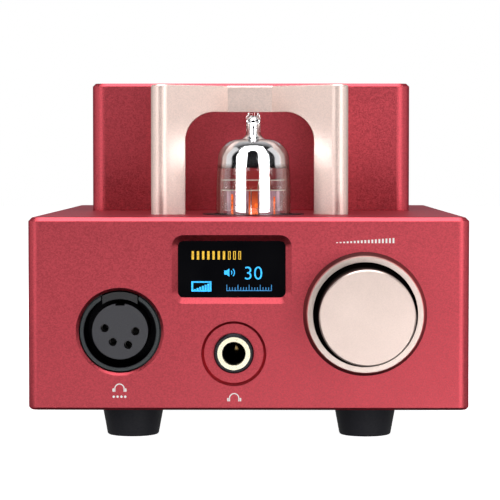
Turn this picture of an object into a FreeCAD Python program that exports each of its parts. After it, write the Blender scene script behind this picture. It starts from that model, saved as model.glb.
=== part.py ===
import FreeCAD, Part

import math
import os
import re

import Sketcher

# Headphone amplifier with one nine-pin vacuum tube, in millimetres.
# X runs to the right seen from the front, Y runs from the front to the back, Z is up.
# The origin is on the table, under the middle of the overall box.
# Depths below are measured backwards from the flat front of the chassis.

doc = FreeCAD.newDocument("HeadphoneAmplifier")
sheet = doc.addObject("Spreadsheet::Sheet", "Dims")

DIMENSIONS = {
    # chassis
    "BoxWidth": 120.8,
    "BoxDepth": 172,
    "BoxHeight": 52.7,
    "BoxWall": 3,
    "FaceWall": 4,
    "BoxCorner": 3,
    "RoofBevel": 1,
    "SoleBevel": 0.7,
    "PostSide": 8,
    "PlateThick": 2,
    "RearThick": 3,
    "TapRadius": 1.25,
    "TapDepth": 8,
    "ScrewHeadRadius": 2.5,
    "ScrewHeadHeight": 1.6,
    "ScrewLength": 8,
    "RearScrewLow": 12,
    "RearScrewHigh": 41.3,
    "VentX": 24,
    "VentLength": 34,
    "VentWidth": 3,
    "VentFront": 62,
    "VentPitch": 8,
    "WireHoleRadius": 5,
    "WireHoleX": 41,
    # feet
    "FootHeight": 8.6,
    "FootTopRadius": 8.75,
    "FootSoleRadius": 7.15,
    "FootRound": 0.7,
    "FootSpread": 32.6,
    "FootFront": 18,
    "FootRear": 154,
    "FootScrewRadius": 2,
    "FootSinkRadius": 4.2,
    "FootSinkDepth": 5,
    "FootScrewHead": 3.6,
    "FootScrewHeadHeight": 2.4,
    # transformer cover
    "CoverWidth": 99,
    "CoverDepth": 80,
    "CoverHeight": 39.5,
    "CoverFront": 88,
    "CoverCorner": 4.2,
    "CoverBevel": 0.9,
    "CoverWall": 2,
    # tube guard: a folded plate, open at the back
    "GuardWidth": 56.9,
    "GuardFront": 31,
    "GuardFold": 16.5,
    "GuardFacet": 13,
    "GuardHeight": 37.4,
    "GuardPlate": 3.8,
    "GuardCorner": 3,
    "GuardInnerCorner": 1,
    "GuardWindowWidth": 37.4,
    "GuardWindowHeight": 29.8,
    "GuardWindowRound": 8.5,
    "GuardBevel": 0.35,
    "GuardScrewFront": 60,
    "GuardScrewRear": 80,
    # vacuum tube
    "TubeX": 1.1,
    "TubeDepth": 36,
    "TubeRadius": 10.7,
    "TubeTaper": 28,
    "ShoulderRadius": 10,
    "TubeSeat": 20,
    "TubeRise": 29.3,
    "DomeRise": 21.7,
    "DomeRound": 5.9,
    "GlassWall": 1,
    "TipRadius": 2.05,
    "TipEndRadius": 1.6,
    "TipTaper": 1.3,
    "TipRound": 2.2,
    "ButtonThick": 2.5,
    "ButtonRound": 0.7,
    "PinCircle": 5.95,
    "PinRadius": 0.5,
    "PinLength": 7,
    "SpacerRadius": 9.4,
    "SpacerThick": 0.3,
    "UpperSpacer": 29.8,
    "MiddleSpacer": 26.9,
    "LowerSpacer": 5.5,
    "AnodeWidth": 6,
    "AnodeDepth": 9,
    "AnodePitch": 8.6,
    "AnodeWall": 0.4,
    "CathodeRadius": 0.8,
    "CathodeOverhang": 1,
    "RodRadius": 0.45,
    "RodDepth": 3,
    "GetterRadius": 3.2,
    "GetterWire": 0.4,
    "GetterHeight": 34.5,
    # tube holder and roof opening
    "RoofHoleRadius": 13.2,
    "RimRadius": 14.6,
    "RimBore": 11.6,
    "RimProud": 0.3,
    "HolderGap": 0.3,
    "HolderRadius": 10.5,
    "HolderHeight": 9.5,
    "HolderBore": 3,
    "ContactRadius": 1.2,
    "TubeBoardSide": 28,
    "TubeBoardFront": 24.6,
    "ClipSetBack": 0.5,
    "BoardThick": 1.6,
    # display
    "DisplayX": -4.6,
    "DisplayZ": 47.15,
    "DisplayWidth": 29.5,
    "DisplayHeight": 15.5,
    "DisplayCorner": 1.6,
    "DisplayBevelWide": 1.65,
    "DisplayBevelDeep": 1.3,
    "WindowThick": 1,
    "PanelThick": 1.4,
    "DisplayBoardWidth": 36,
    "DisplayBoardHeight": 20,
    # volume knob, its bezel and the encoder behind it
    "KnobX": 31.8,
    "KnobZ": 35,
    "KnobRadius": 12.95,
    "KnobProud": 16.5,
    "KnobGap": 1.5,
    "KnobEdge": 0.4,
    "KnobSkin": 3,
    "KnobWall": 2,
    "HubRadius": 5.5,
    "HubGap": 1.1,
    "GrubSetBack": 0.6,
    "BezelRadius": 16.95,
    "BezelFaceRadius": 15.75,
    "BezelBore": 14.3,
    "BezelFloorRadius": 13.7,
    "BezelProud": 3.3,
    "BezelFloor": 0.6,
    "BushRadius": 3.5,
    "BushProud": 5.5,
    "NutFlats": 10,
    "NutThick": 2.2,
    "ShaftRadius": 3,
    "ShaftFit": 0.05,
    "ShaftFront": 12,
    "ShaftTail": 3,
    "EncoderSide": 12.4,
    "EncoderDepth": 6.6,
    "PlungerRadius": 1.45,
    "PlungerLength": 4.5,
    "PlungerReach": 2,
    "PlungerGap": 0.3,
    "PushRoom": 1,
    "GrubRadius": 1.5,
    "GrubLength": 4.5,
    # four-pin balanced socket
    "BalancedX": -35.2,
    "BalancedZ": 30.1,
    "BalancedHole": 11.3,
    "BalancedBevel": 0.75,
    "ShellRadius": 10.85,
    "ShellBore": 9.8,
    "ShellSetBack": 0.6,
    "ShellDepth": 20,
    "ShellFloor": 3,
    "FlangeRadius": 13.4,
    "FlangeThick": 2.5,
    "InsertRadius": 7.65,
    "InsertSetBack": 1.2,
    "KeyWidth": 2.6,
    "KeyDepth": 0.6,
    "LatchGapWidth": 10.3,
    "LatchClear": 0.35,
    "LatchInner": 8.9,
    "LatchDepth": 11,
    "LatchTravelRoom": 3,
    "LatchNotchHeight": 4.2,
    "InsertTail": 1.5,
    "ContactSetBack": 4,
    "ContactTail": 1,
    "ContactHollow": 11,
    "ContactBore": 1.15,
    "ContactWall": 0.25,
    # quarter-inch socket
    "JackX": -4.03,
    "JackZ": 24.1,
    "RecessRadius": 8.9,
    "RecessSlope": 0.75,
    "RecessDepth": 1.6,
    "JackBore": 3.25,
    "JackRingRadius": 4.5,
    "JackNutRadius": 5.5,
    "JackNutSetBack": 0.3,
    "JackNutEdge": 0.4,
    "JackBodySide": 13.4,
    "JackBodyDepth": 20,
    "SpringWidth": 2,
    "SpringDepth": 3,
    "SpringHeight": 4.2,
    "SpringFirst": 4,
    "SpringPitch": 5,
    # rear connectors
    "ConnectorZ": 35,
    "InletX": -34,
    "InletWidth": 27,
    "InletHeight": 33,
    "InletBodyDepth": 26,
    "InletFlangeWidth": 31,
    "InletFlangeHeight": 37,
    "InletFlange": 2.5,
    "SlotWidth": 22.6,
    "SlotHeight": 14.8,
    "SlotDepth": 18,
    "SlotRise": 7,
    "BladeWidth": 2,
    "BladeHeight": 4,
    "BladeSetBack": 2,
    "BladeSpread": 7,
    "BladeStagger": 1.5,
    "TailThick": 0.8,
    "TailLength": 6,
    "DrawerDrop": 10.4,
    "DrawerWidth": 19.4,
    "DrawerHeight": 7.2,
    "DrawerDepth": 20,
    "DrawerClear": 0.35,
    "DrawerLipWidth": 22,
    "DrawerLipHeight": 9.4,
    "DrawerLip": 1.6,
    "GripWidth": 6,
    "GripHeight": 2,
    "SwitchX": -9,
    "SwitchWidth": 13,
    "SwitchHeight": 19.4,
    "SwitchBodyDepth": 18,
    "SwitchFlangeWidth": 15,
    "SwitchFlangeHeight": 21,
    "SwitchFlange": 2,
    "SwitchWellWidth": 10.4,
    "SwitchWellHeight": 16.6,
    "SwitchWellDepth": 8,
    "RockerWidth": 9.6,
    "RockerHalf": 6.6,
    "RockerCrest": 3.4,
    "RockerValley": 1.8,
    "RockerBack": 2.6,
    "RockerTilt": 8,
    "TrunnionRadius": 0.9,
    "TrunnionSeat": 1.1,
    "TrunnionEndGap": 0.15,
    "HingeProud": 0.3,
    "UsbX": 12,
    "UpperZ": 45,
    "LowerZ": 22.5,
    "UsbWidth": 12,
    "UsbHeight": 11,
    "UsbDepth": 16,
    "UsbProud": 0.8,
    "UsbMouthWidth": 8.6,
    "UsbMouthHeight": 7.9,
    "UsbMouthDepth": 10,
    "UsbTongueWidth": 5.6,
    "UsbTongueHeight": 3.2,
    "UsbTongueSetBack": 1,
    "OpticalSide": 10.4,
    "OpticalDepth": 16,
    "OpticalProud": 1.2,
    "OpticalMouth": 8,
    "OpticalMouthDepth": 10,
    "ShutterSide": 7.2,
    "ShutterThick": 0.9,
    "ShutterSetBack": 1,
    "CoaxX": 30,
    "LineX": 44,
    "BarrelRadius": 4.15,
    "BarrelBore": 3.3,
    "BarrelProud": 9.5,
    "CollarRadius": 5.4,
    "CollarThick": 1.2,
    "BarrelTail": 8,
    "CentreBore": 1.65,
    "LinerSetBack": 1.5,
    # boards and what they carry
    "BoardWidth": 100,
    "BoardFront": 54,
    "BoardDepth": 88,
    "BoardRise": 4.5,
    "BoardInset": 5,
    "PostRadius": 3,
    "BigCanRadius": 8,
    "BigCanHeight": 30,
    "CanSpread": 12,
    "CanFront": 74,
    "CanPitch": 19,
    "SinkWidth": 22,
    "SinkDepth": 50,
    "SinkHeight": 26,
    "SinkX": 37,
    "SinkFront": 66,
    "FinGap": 2.2,
    "SinkFloor": 4,
    "DeviceWidth": 10,
    "DeviceDepth": 4.5,
    "DeviceHeight": 15,
    "DeviceFirst": 10,
    "DevicePitch": 20,
    "RelayWidth": 15,
    "RelayDepth": 19,
    "RelayHeight": 15,
    "RelayFront": 118,
    "RelayPitch": 18,
    "RelayX": 12,
    "ChipSide": 10,
    "ChipHeight": 1.4,
    "ChipFront": 122,
    "ChipPitch": 16,
    "ChipX": -38,
    # toroidal mains transformer
    "ToroidDepth": 128,
    "ToroidRadius": 35,
    "ToroidBore": 12,
    "ToroidHeight": 29,
    "ToroidRound": 9,
    "PadThick": 1.5,
    "DishRadius": 27,
    "DishThick": 1.5,
    "ToroidBoltRadius": 3,
    "ToroidBoltFlats": 10,
    "ToroidBoltHead": 3.5,
    "ToroidNut": 3,
    "ToroidBoltTail": 1,
}

for row, (alias, value) in enumerate(DIMENSIONS.items(), start=1):
    sheet.set(f"A{row}", alias)
    sheet.set(f"B{row}", str(value))
    sheet.setAlias(f"B{row}", alias)
doc.recompute()

# Front of the chassis on Y, so that knob front and socket ends lie evenly about the origin.
FRONT = "(KnobProud - BoxDepth - BarrelProud) / 2"
ROOF = "FootHeight + BoxHeight"
PHONO_SPOTS = (("CoaxX", "LowerZ"), ("LineX", "UpperZ"), ("LineX", "LowerZ"))
FOOT_SPOTS = tuple((x, depth) for x in ("FootSpread", "-FootSpread") for depth in ("FootFront", "FootRear"))
VENT_COUNT = 9
SPRING_COUNT = 3
FIN_GAPS = 4
RELAY_COUNT = 2
CHIP_COUNT = 3
PIN_COUNT = 9
PIN_STEP = 36
EDGE_TOLERANCE = 0.01

parts = {}


def sheet_terms(text):
    """Turn each capitalised name of an expression into a cell of the sheet."""
    return re.sub(r"\b([A-Z][A-Za-z]+)\b", r"Dims.\1", text)


def bind(item, **settings):
    """Bind properties of an object to expressions; __ in a name stands for a dot."""
    for name, text in settings.items():
        item.setExpression(name.replace("__", "."), sheet_terms(text))


def number(text):
    """Present value of an expression."""
    return float(sheet.evalExpression(sheet_terms(text)))


def place(item, x="0", depth="0", height="0"):
    """Put an object at a sideways place, a depth behind the front and a height."""
    bind(item, Placement__Base__x=x, Placement__Base__y=f"{FRONT} + {depth}", Placement__Base__z=height)


def keep(label, item):
    """Name an object as a finished sub-part."""
    item.Label = label
    parts[label] = item
    return item


# Part primitives

def block(name, size, x, depth, height):
    """Box of (width, depth, height), centred on x, with its front and underside given."""
    box = doc.addObject("Part::Box", name)
    bind(box, Length=size[0], Width=size[1], Height=size[2])
    place(box, f"{x} - ({size[0]}) / 2", depth, height)
    return box


def turn_to(item, direction):
    """Lay a primitive's own Z axis along the named direction."""
    if direction == "back":
        item.Placement.Rotation = FreeCAD.Rotation(FreeCAD.Vector(1, 0, 0), -90)
    if direction == "right":
        item.Placement.Rotation = FreeCAD.Rotation(FreeCAD.Vector(0, 1, 0), 90)


def rod(name, radius, length, x, depth, height, direction="up"):
    """Cylinder from a point, up, back or to the right."""
    cylinder = doc.addObject("Part::Cylinder", name)
    bind(cylinder, Radius=radius, Height=length)
    turn_to(cylinder, direction)
    place(cylinder, x, depth, height)
    return cylinder


def cone(name, lower, upper, length, x, depth, height):
    """Upright cone from its lower radius to its upper one."""
    item = doc.addObject("Part::Cone", name)
    bind(item, Radius1=lower, Radius2=upper, Height=length)
    place(item, x, depth, height)
    return item


def hexagon(name, flats, length, x, depth, height, direction="up"):
    """Hexagonal prism with the given width across flats."""
    prism = doc.addObject("Part::Prism", name)
    prism.Polygon = 6
    bind(prism, Circumradius=f"({flats}) / sqrt(3)", Height=length)
    turn_to(prism, direction)
    place(prism, x, depth, height)
    return prism


def join(name, *items):
    """One solid from several overlapping or touching ones."""
    fused = doc.addObject("Part::MultiFuse", name)
    fused.Shapes = list(items)
    return fused


def group(name, items):
    """Separate solids kept together."""
    compound = doc.addObject("Part::Compound", name)
    compound.Links = list(items)
    return compound


def cut(name, base, *tools):
    """A solid less its tools."""
    item = doc.addObject("Part::Cut", name)
    item.Base = base
    item.Tool = tools[0] if len(tools) == 1 else group(f"{name}Tools", tools)
    return item


# PartDesign bodies

def new_body(label, x="0", depth="0", height="0"):
    """Body whose own origin is at the given place."""
    body = doc.addObject("PartDesign::Body", label.title().replace("_", ""))
    place(body, x, depth, height)
    return keep(label, body)


def new_sketch(body, role, offset="0"):
    """Sketch on one of the body's own origin planes, moved along that plane's normal."""
    item = body.newObject("Sketcher::SketchObject", f"{body.Name}Sketch")
    plane = next(face for face in body.Origin.OriginFeatures if face.Role == role)
    item.AttachmentSupport = [(plane, "")]
    item.MapMode = "FlatFace"
    bind(item, AttachmentOffset__Base__z=offset)
    return item


def fix_point(item, geometry, position, x, y):
    """Dimension one point of a sketch from the sketch's origin."""
    for kind, text, axis in (("DistanceX", x, -2), ("DistanceY", y, -1)):
        if text == "0":
            item.addConstraint(Sketcher.Constraint("PointOnObject", geometry, position, axis))
        else:
            size = Sketcher.Constraint(kind, -1, 1, geometry, position, number(text))
            index = item.addConstraint(size)
            item.setExpression(f"Constraints[{index}]", sheet_terms(text))


def outline(item, points):
    """Closed outline through (x, y) pairs of expressions."""
    first = item.GeometryCount
    count = len(points)
    places = [FreeCAD.Vector(number(x), number(y), 0) for x, y in points]
    for index in range(count):
        item.addGeometry(Part.LineSegment(places[index], places[(index + 1) % count]), False)
    for index in range(count):
        following = first + (index + 1) % count
        item.addConstraint(Sketcher.Constraint("Coincident", first + index, 2, following, 1))
    for index, (x, y) in enumerate(points):
        fix_point(item, first + index, 1, x, y)


def rectangle(item, width, height, x="0", y="0"):
    """Rectangle centred on x, with its lower edge at y."""
    left = f"{x} - ({width}) / 2"
    right = f"{x} + ({width}) / 2"
    top = f"{y} + {height}"
    outline(item, [(left, y), (right, y), (right, top), (left, top)])


def arched_window(item, width, height, radius):
    """Window standing on the sketch's X axis, with its two upper corners rounded."""
    half = f"({width}) / 2"
    shoulder = f"{height} - {radius}"
    points = [
        (f"-{half}", "0"), (half, "0"), (half, shoulder), (f"{half} - {radius}", height),
        (f"{radius} - {half}", height), (f"-{half}", shoulder),
    ]
    places = [FreeCAD.Vector(number(x), number(y), 0) for x, y in points]
    turn = number(radius)
    upward = FreeCAD.Vector(0, 0, 1)
    first = item.GeometryCount
    for start in range(len(points)):
        end = (start + 1) % len(points)
        if start in (2, 4):
            quarter = start // 2 - 1
            centre = FreeCAD.Vector(places[3 + quarter].x, places[2].y, 0)
            begin = math.radians(90 * quarter)
            arc = Part.ArcOfCircle(Part.Circle(centre, upward, turn), begin, begin + math.radians(90))
            item.addGeometry(arc, False)
        else:
            item.addGeometry(Part.LineSegment(places[start], places[end]), False)
    for start, (x, y) in enumerate(points):
        following = first + (start + 1) % len(points)
        item.addConstraint(Sketcher.Constraint("Coincident", first + start, 2, following, 1))
        fix_point(item, first + start, 1, x, y)
        if start in (2, 4):
            size = item.addConstraint(Sketcher.Constraint("Radius", first + start, turn))
            item.setExpression(f"Constraints[{size}]", sheet_terms(radius))


def circle(item, radius, x="0", y="0"):
    """Circle about a point."""
    centre = FreeCAD.Vector(number(x), number(y), 0)
    index = item.addGeometry(Part.Circle(centre, FreeCAD.Vector(0, 0, 1), number(radius)), False)
    fix_point(item, index, 3, x, y)
    size = item.addConstraint(Sketcher.Constraint("Radius", index, number(radius)))
    item.setExpression(f"Constraints[{size}]", sheet_terms(radius))


def feature(body, kind, profile, length, flipped=False):
    """Pad or pocket of a sketch; a pocket has to take material away and a pad to add it."""
    doc.recompute()
    before = body.Tip.Shape.Volume if body.Tip else 0
    item = body.newObject(f"PartDesign::{kind}", f"{body.Name}{kind}")
    item.Profile = profile
    item.Reversed = flipped
    bind(item, Length=length)
    profile.Visibility = False
    doc.recompute()
    gained = item.Shape.Volume - before
    if (gained > 0) != (kind == "Pad"):
        raise RuntimeError(f"{body.Label}: {kind} changed the volume by {gained}")
    return item


def dress(body, kind, size, chosen, second=None):
    """Fillet or chamfer on the edges of the last feature that the test accepts."""
    doc.recompute()
    last = body.Tip
    names = [f"Edge{index}" for index, edge in enumerate(last.Shape.Edges, start=1) if chosen(edge)]
    if not names:
        raise RuntimeError(f"{body.Label}: no edge for a {kind}")
    item = body.newObject(f"PartDesign::{kind}", f"{body.Name}{kind}")
    item.Base = (last, names)
    if kind == "Fillet":
        bind(item, Radius=size)
    elif second is None:
        bind(item, Size=size)
    else:
        item.ChamferType = "Two distances"
        bind(item, Size=size, Size2=second)
    doc.recompute()
    return item


def turned(label, points, x, depth, height, upright=True):
    """Body of revolution about Z, or about Y; points are (radius, place along the axis)."""
    body = new_body(label, x, depth, height)
    profile = new_sketch(body, "XZ_Plane" if upright else "XY_Plane")
    outline(profile, points)
    item = body.newObject("PartDesign::Revolution", f"{body.Name}Turn")
    item.Profile = profile
    item.ReferenceAxis = (profile, ["V_Axis"])
    item.Angle = 360
    doc.recompute()
    return body


def near(value, text):
    """Whether a measured value equals an expression."""
    return abs(value - number(text)) < EDGE_TOLERANCE


def upright_edge(edge):
    """Straight edge along Z."""
    box = edge.BoundBox
    return box.XLength < EDGE_TOLERANCE and box.YLength < EDGE_TOLERANCE


def ring_edge(radius, position, axis="z"):
    """Test for a circular edge of a radius, at a place along its axis."""
    def test(edge):
        if not hasattr(edge.Curve, "Radius"):
            return False
        return near(edge.Curve.Radius, radius) and near(getattr(edge.Curve.Center, axis), position)
    return test


def level_edge(height):
    """Test for an edge that lies wholly at one height."""
    def test(edge):
        return edge.BoundBox.ZLength < EDGE_TOLERANCE and near(edge.BoundBox.ZMin, height)
    return test


def notched_room(item, half, front, back, notch):
    """Rectangle from front to back with a square left standing in each corner."""
    left = f"-({half})"
    right = f"{half}"
    points = [
        (f"{left} + {notch}", front), (f"{right} - {notch}", front),
        (f"{right} - {notch}", f"{front} + {notch}"), (right, f"{front} + {notch}"),
        (right, f"{back} - {notch}"), (f"{right} - {notch}", f"{back} - {notch}"),
        (f"{right} - {notch}", back), (f"{left} + {notch}", back),
        (f"{left} + {notch}", f"{back} - {notch}"), (left, f"{back} - {notch}"),
        (left, f"{front} + {notch}"), (f"{left} + {notch}", f"{front} + {notch}"),
    ]
    outline(item, points)


def screws(label, spots, head_radius, head_height, shank_radius, shank_length):
    """Set of socket screws; each spot is (x, depth, height, direction) of the face under the head."""
    stem = label.title().replace("_", "")
    items = []
    for index, (x, depth, height, direction) in enumerate(spots):
        shank_at = (x, depth, height)
        head_at = (x, depth, height)
        recess_at = (x, depth, height)
        lie = "up"
        if direction == "up":
            head_at = (x, depth, f"{height} - {head_height}")
            recess_at = head_at
        if direction == "down":
            shank_at = (x, depth, f"{height} - {shank_length}")
            recess_at = (x, depth, f"{height} + {head_height} / 3")
        if direction == "forward":
            shank_at = (x, f"{depth} - {shank_length}", height)
            recess_at = (x, f"{depth} + {head_height} / 3", height)
            lie = "back"
        shank = rod(f"{stem}Shank{index}", shank_radius, shank_length, *shank_at, lie)
        head = rod(f"{stem}Head{index}", head_radius, head_height, *head_at, lie)
        drive = hexagon(f"{stem}Drive{index}", head_radius, f"{head_height} * 2 / 3", *recess_at, lie)
        items.append(cut(f"{stem}Cut{index}", join(f"{stem}Solid{index}", shank, head), drive))
    return items


# Chassis

INNER_HALF = "BoxWidth / 2 - BoxWall"
REAR_INSIDE = "BoxDepth - RearThick"
POST_X = "BoxWidth / 2 - BoxWall - PostSide / 2"
POST_FRONT = "FaceWall + PostSide / 2"
POST_REAR = "BoxDepth - RearThick - PostSide / 2"
COVER_POST_X = "CoverWidth / 2 - CoverWall - PostSide / 2"
COVER_POST_FRONT = "CoverFront + CoverWall + PostSide / 2"
COVER_POST_REAR = "CoverFront + CoverDepth - CoverWall - PostSide / 2"
GUARD_SCREW_X = "GuardWidth / 2 - GuardPlate / 2"
GUARD_SCREW_DEPTHS = ("GuardScrewFront", "GuardScrewRear")
REAR_SCREW_HEIGHTS = ("FootHeight + RearScrewLow", "FootHeight + RearScrewHigh")


def both_sides(x):
    """An offset to the right and the same to the left."""
    return (x, f"-({x})")


def make_chassis_shell():
    body = new_body("chassis_shell", height="FootHeight")
    plan = new_sketch(body, "XY_Plane")
    rectangle(plan, "BoxWidth", "BoxDepth")
    feature(body, "Pad", plan, "BoxHeight")
    dress(body, "Fillet", "BoxCorner", upright_edge)
    dress(body, "Chamfer", "RoofBevel", level_edge("BoxHeight"))
    dress(body, "Chamfer", "SoleBevel", level_edge("0"))

    room = new_sketch(body, "XY_Plane")
    notched_room(room, INNER_HALF, "FaceWall", REAR_INSIDE, "PostSide")
    feature(body, "Pocket", room, "BoxHeight - BoxWall", flipped=True)

    plate_seat = new_sketch(body, "XY_Plane")
    rectangle(plate_seat, f"({INNER_HALF}) * 2", f"{REAR_INSIDE} - FaceWall", y="FaceWall")
    feature(body, "Pocket", plate_seat, "PlateThick", flipped=True)

    rear_seat = new_sketch(body, "XY_Plane")
    rectangle(rear_seat, f"({INNER_HALF}) * 2", "RearThick", y=REAR_INSIDE)
    feature(body, "Pocket", rear_seat, "BoxHeight - BoxWall", flipped=True)

    cut_face(body)
    cut_roof(body)

    sole_taps = new_sketch(body, "XY_Plane", "PlateThick")
    for x in both_sides(POST_X):
        for depth in (POST_FRONT, POST_REAR):
            circle(sole_taps, "TapRadius", x, depth)
    feature(body, "Pocket", sole_taps, "TapDepth", flipped=True)

    rear_taps = new_sketch(body, "XZ_Plane", f"-({REAR_INSIDE})")
    for x in both_sides(POST_X):
        for height in REAR_SCREW_HEIGHTS:
            circle(rear_taps, "TapRadius", x, f"{height} - FootHeight")
    feature(body, "Pocket", rear_taps, "TapDepth", flipped=True)


def cut_face(body):
    """Openings of the front wall, on sketches in the front plane."""
    display = new_sketch(body, "XZ_Plane")
    rectangle(display, "DisplayWidth", "DisplayHeight", "DisplayX",
              "DisplayZ - DisplayHeight / 2 - FootHeight")
    feature(body, "Pocket", display, "FaceWall")

    def beside_display(edge):
        centre = edge.BoundBox.Center
        sideways = abs(centre.x - number("DisplayX")) - number("DisplayWidth / 2")
        upward = abs(centre.z - number("DisplayZ - FootHeight")) - number("DisplayHeight / 2")
        return max(sideways, upward) < EDGE_TOLERANCE

    dress(body, "Fillet", "DisplayCorner",
          lambda edge: beside_display(edge) and near(edge.BoundBox.YLength, "FaceWall"))
    dress(body, "Chamfer", "DisplayBevelDeep",
          lambda edge: beside_display(edge) and near(edge.BoundBox.YMax, "0"), second="DisplayBevelWide")

    rounds = new_sketch(body, "XZ_Plane")
    circle(rounds, "BushRadius", "KnobX", "KnobZ - FootHeight")
    circle(rounds, "BalancedHole", "BalancedX", "BalancedZ - FootHeight")
    circle(rounds, "JackRingRadius", "JackX", "JackZ - FootHeight")
    feature(body, "Pocket", rounds, "FaceWall")
    dress(body, "Chamfer", "BalancedBevel", ring_edge("BalancedHole", "0", "y"))

    recess = new_sketch(body, "XZ_Plane")
    circle(recess, "RecessRadius - RecessSlope", "JackX", "JackZ - FootHeight")
    feature(body, "Pocket", recess, "RecessDepth")
    dress(body, "Chamfer", "RecessSlope", ring_edge("RecessRadius - RecessSlope", "0", "y"),
          second="RecessDepth - 0.05")


def cut_roof(body):
    """Openings of the roof, on a sketch in the plane of the roof."""
    roof = new_sketch(body, "XY_Plane", "BoxHeight")
    circle(roof, "RoofHoleRadius", "TubeX", "TubeDepth")
    circle(roof, "ToroidBoltRadius", "0", "ToroidDepth")
    circle(roof, "WireHoleRadius", "WireHoleX", "ToroidDepth")
    for x in both_sides(COVER_POST_X):
        for depth in (COVER_POST_FRONT, COVER_POST_REAR):
            circle(roof, "TapRadius", x, depth)
    for x in both_sides(GUARD_SCREW_X):
        for depth in GUARD_SCREW_DEPTHS:
            circle(roof, "TapRadius", x, depth)
    feature(body, "Pocket", roof, "BoxWall")


def make_rear_panel():
    body = new_body("rear_panel", depth=REAR_INSIDE, height="FootHeight")
    face = new_sketch(body, "XZ_Plane")
    rectangle(face, f"({INNER_HALF}) * 2", "BoxHeight - BoxWall")
    for x, height, wide, tall in (
            ("InletX", "ConnectorZ", "InletWidth", "InletHeight"),
            ("SwitchX", "ConnectorZ", "SwitchWidth", "SwitchHeight"),
            ("UsbX", "UpperZ", "UsbWidth", "UsbHeight"),
            ("UsbX", "LowerZ", "OpticalSide", "OpticalSide")):
        rectangle(face, wide, tall, x, f"{height} - {tall} / 2 - FootHeight")
    for x, height in PHONO_SPOTS:
        circle(face, "BarrelRadius", x, f"{height} - FootHeight")
    for x in both_sides(POST_X):
        for height in REAR_SCREW_HEIGHTS:
            circle(face, "TapRadius", x, f"{height} - FootHeight")
    feature(body, "Pad", face, "RearThick", flipped=True)


def make_bottom_plate():
    body = new_body("bottom_plate", height="FootHeight")
    plan = new_sketch(body, "XY_Plane")
    rectangle(plan, f"({INNER_HALF}) * 2", f"{REAR_INSIDE} - FaceWall", y="FaceWall")
    for x in both_sides(POST_X):
        for depth in (POST_FRONT, POST_REAR):
            circle(plan, "TapRadius", x, depth)
    for x, depth in FOOT_SPOTS:
        circle(plan, "FootScrewRadius", x, depth)
    for index in range(VENT_COUNT):
        for x in both_sides("VentX"):
            rectangle(plan, "VentLength", "VentWidth", x, f"VentFront + {index} * VentPitch")
    feature(body, "Pad", plan, "PlateThick")
    sinks = new_sketch(body, "XY_Plane")
    for x in both_sides(POST_X):
        for depth in (POST_FRONT, POST_REAR):
            circle(sinks, "ScrewHeadRadius", x, depth)
    feature(body, "Pocket", sinks, "ScrewHeadHeight", flipped=True)


def make_transformer_cover():
    body = new_body("transformer_cover", depth="CoverFront", height=ROOF)
    plan = new_sketch(body, "XY_Plane")
    rectangle(plan, "CoverWidth", "CoverDepth")
    feature(body, "Pad", plan, "CoverHeight")
    dress(body, "Fillet", "CoverCorner", upright_edge)
    dress(body, "Chamfer", "CoverBevel", level_edge("CoverHeight"))
    room = new_sketch(body, "XY_Plane")
    notched_room(room, "CoverWidth / 2 - CoverWall", "CoverWall", "CoverDepth - CoverWall", "PostSide")
    feature(body, "Pocket", room, "CoverHeight - CoverWall", flipped=True)
    taps = new_sketch(body, "XY_Plane")
    for x in both_sides(COVER_POST_X):
        for depth in (COVER_POST_FRONT, COVER_POST_REAR):
            circle(taps, "TapRadius", x, f"{depth} - CoverFront")
    feature(body, "Pocket", taps, "TapDepth", flipped=True)


def make_tube_guard():
    """Plate folded in plan: two sides, two slopes leaning in, and a flat facet between them."""
    body = new_body("tube_guard", depth="GuardFront", height=ROOF)
    slope = "atan(GuardFold / (GuardWidth / 2 - GuardFacet / 2))"
    outer = "GuardWidth / 2"
    inner = "GuardWidth / 2 - GuardPlate"
    inner_fold = f"GuardPlate * (1 + sin({slope})) / cos({slope})"
    facet = "GuardFacet / 2"
    inner_facet = f"GuardFacet / 2 + GuardPlate * tan({slope} / 2)"
    back = "CoverFront - GuardFront"
    right = [
        (facet, "GuardFold"), (outer, "0"), (outer, back), (inner, back), (inner, inner_fold),
        (inner_facet, "GuardFold + GuardPlate"),
    ]
    left = [(f"-({x})", y) for x, y in reversed(right)]
    plan = new_sketch(body, "XY_Plane")
    outline(plan, right + left)
    feature(body, "Pad", plan, "GuardHeight")

    def fold(half, depth):
        return lambda edge: (upright_edge(edge) and near(abs(edge.BoundBox.XMin), half)
                             and near(edge.BoundBox.YMin, depth))
    dress(body, "Fillet", "GuardCorner", fold(outer, "0"))
    dress(body, "Fillet", "GuardInnerCorner", fold(inner, inner_fold))
    dress(body, "Chamfer", "GuardBevel", level_edge("GuardHeight"))

    window = new_sketch(body, "XZ_Plane")
    arched_window(window, "GuardWindowWidth", "GuardWindowHeight", "GuardWindowRound")
    feature(body, "Pocket", window, "GuardFold + GuardPlate + 1")

    taps = new_sketch(body, "XY_Plane")
    for x in both_sides(GUARD_SCREW_X):
        for depth in GUARD_SCREW_DEPTHS:
            circle(taps, "TapRadius", x, f"{depth} - GuardFront")
    feature(body, "Pocket", taps, "TapDepth", flipped=True)


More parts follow.
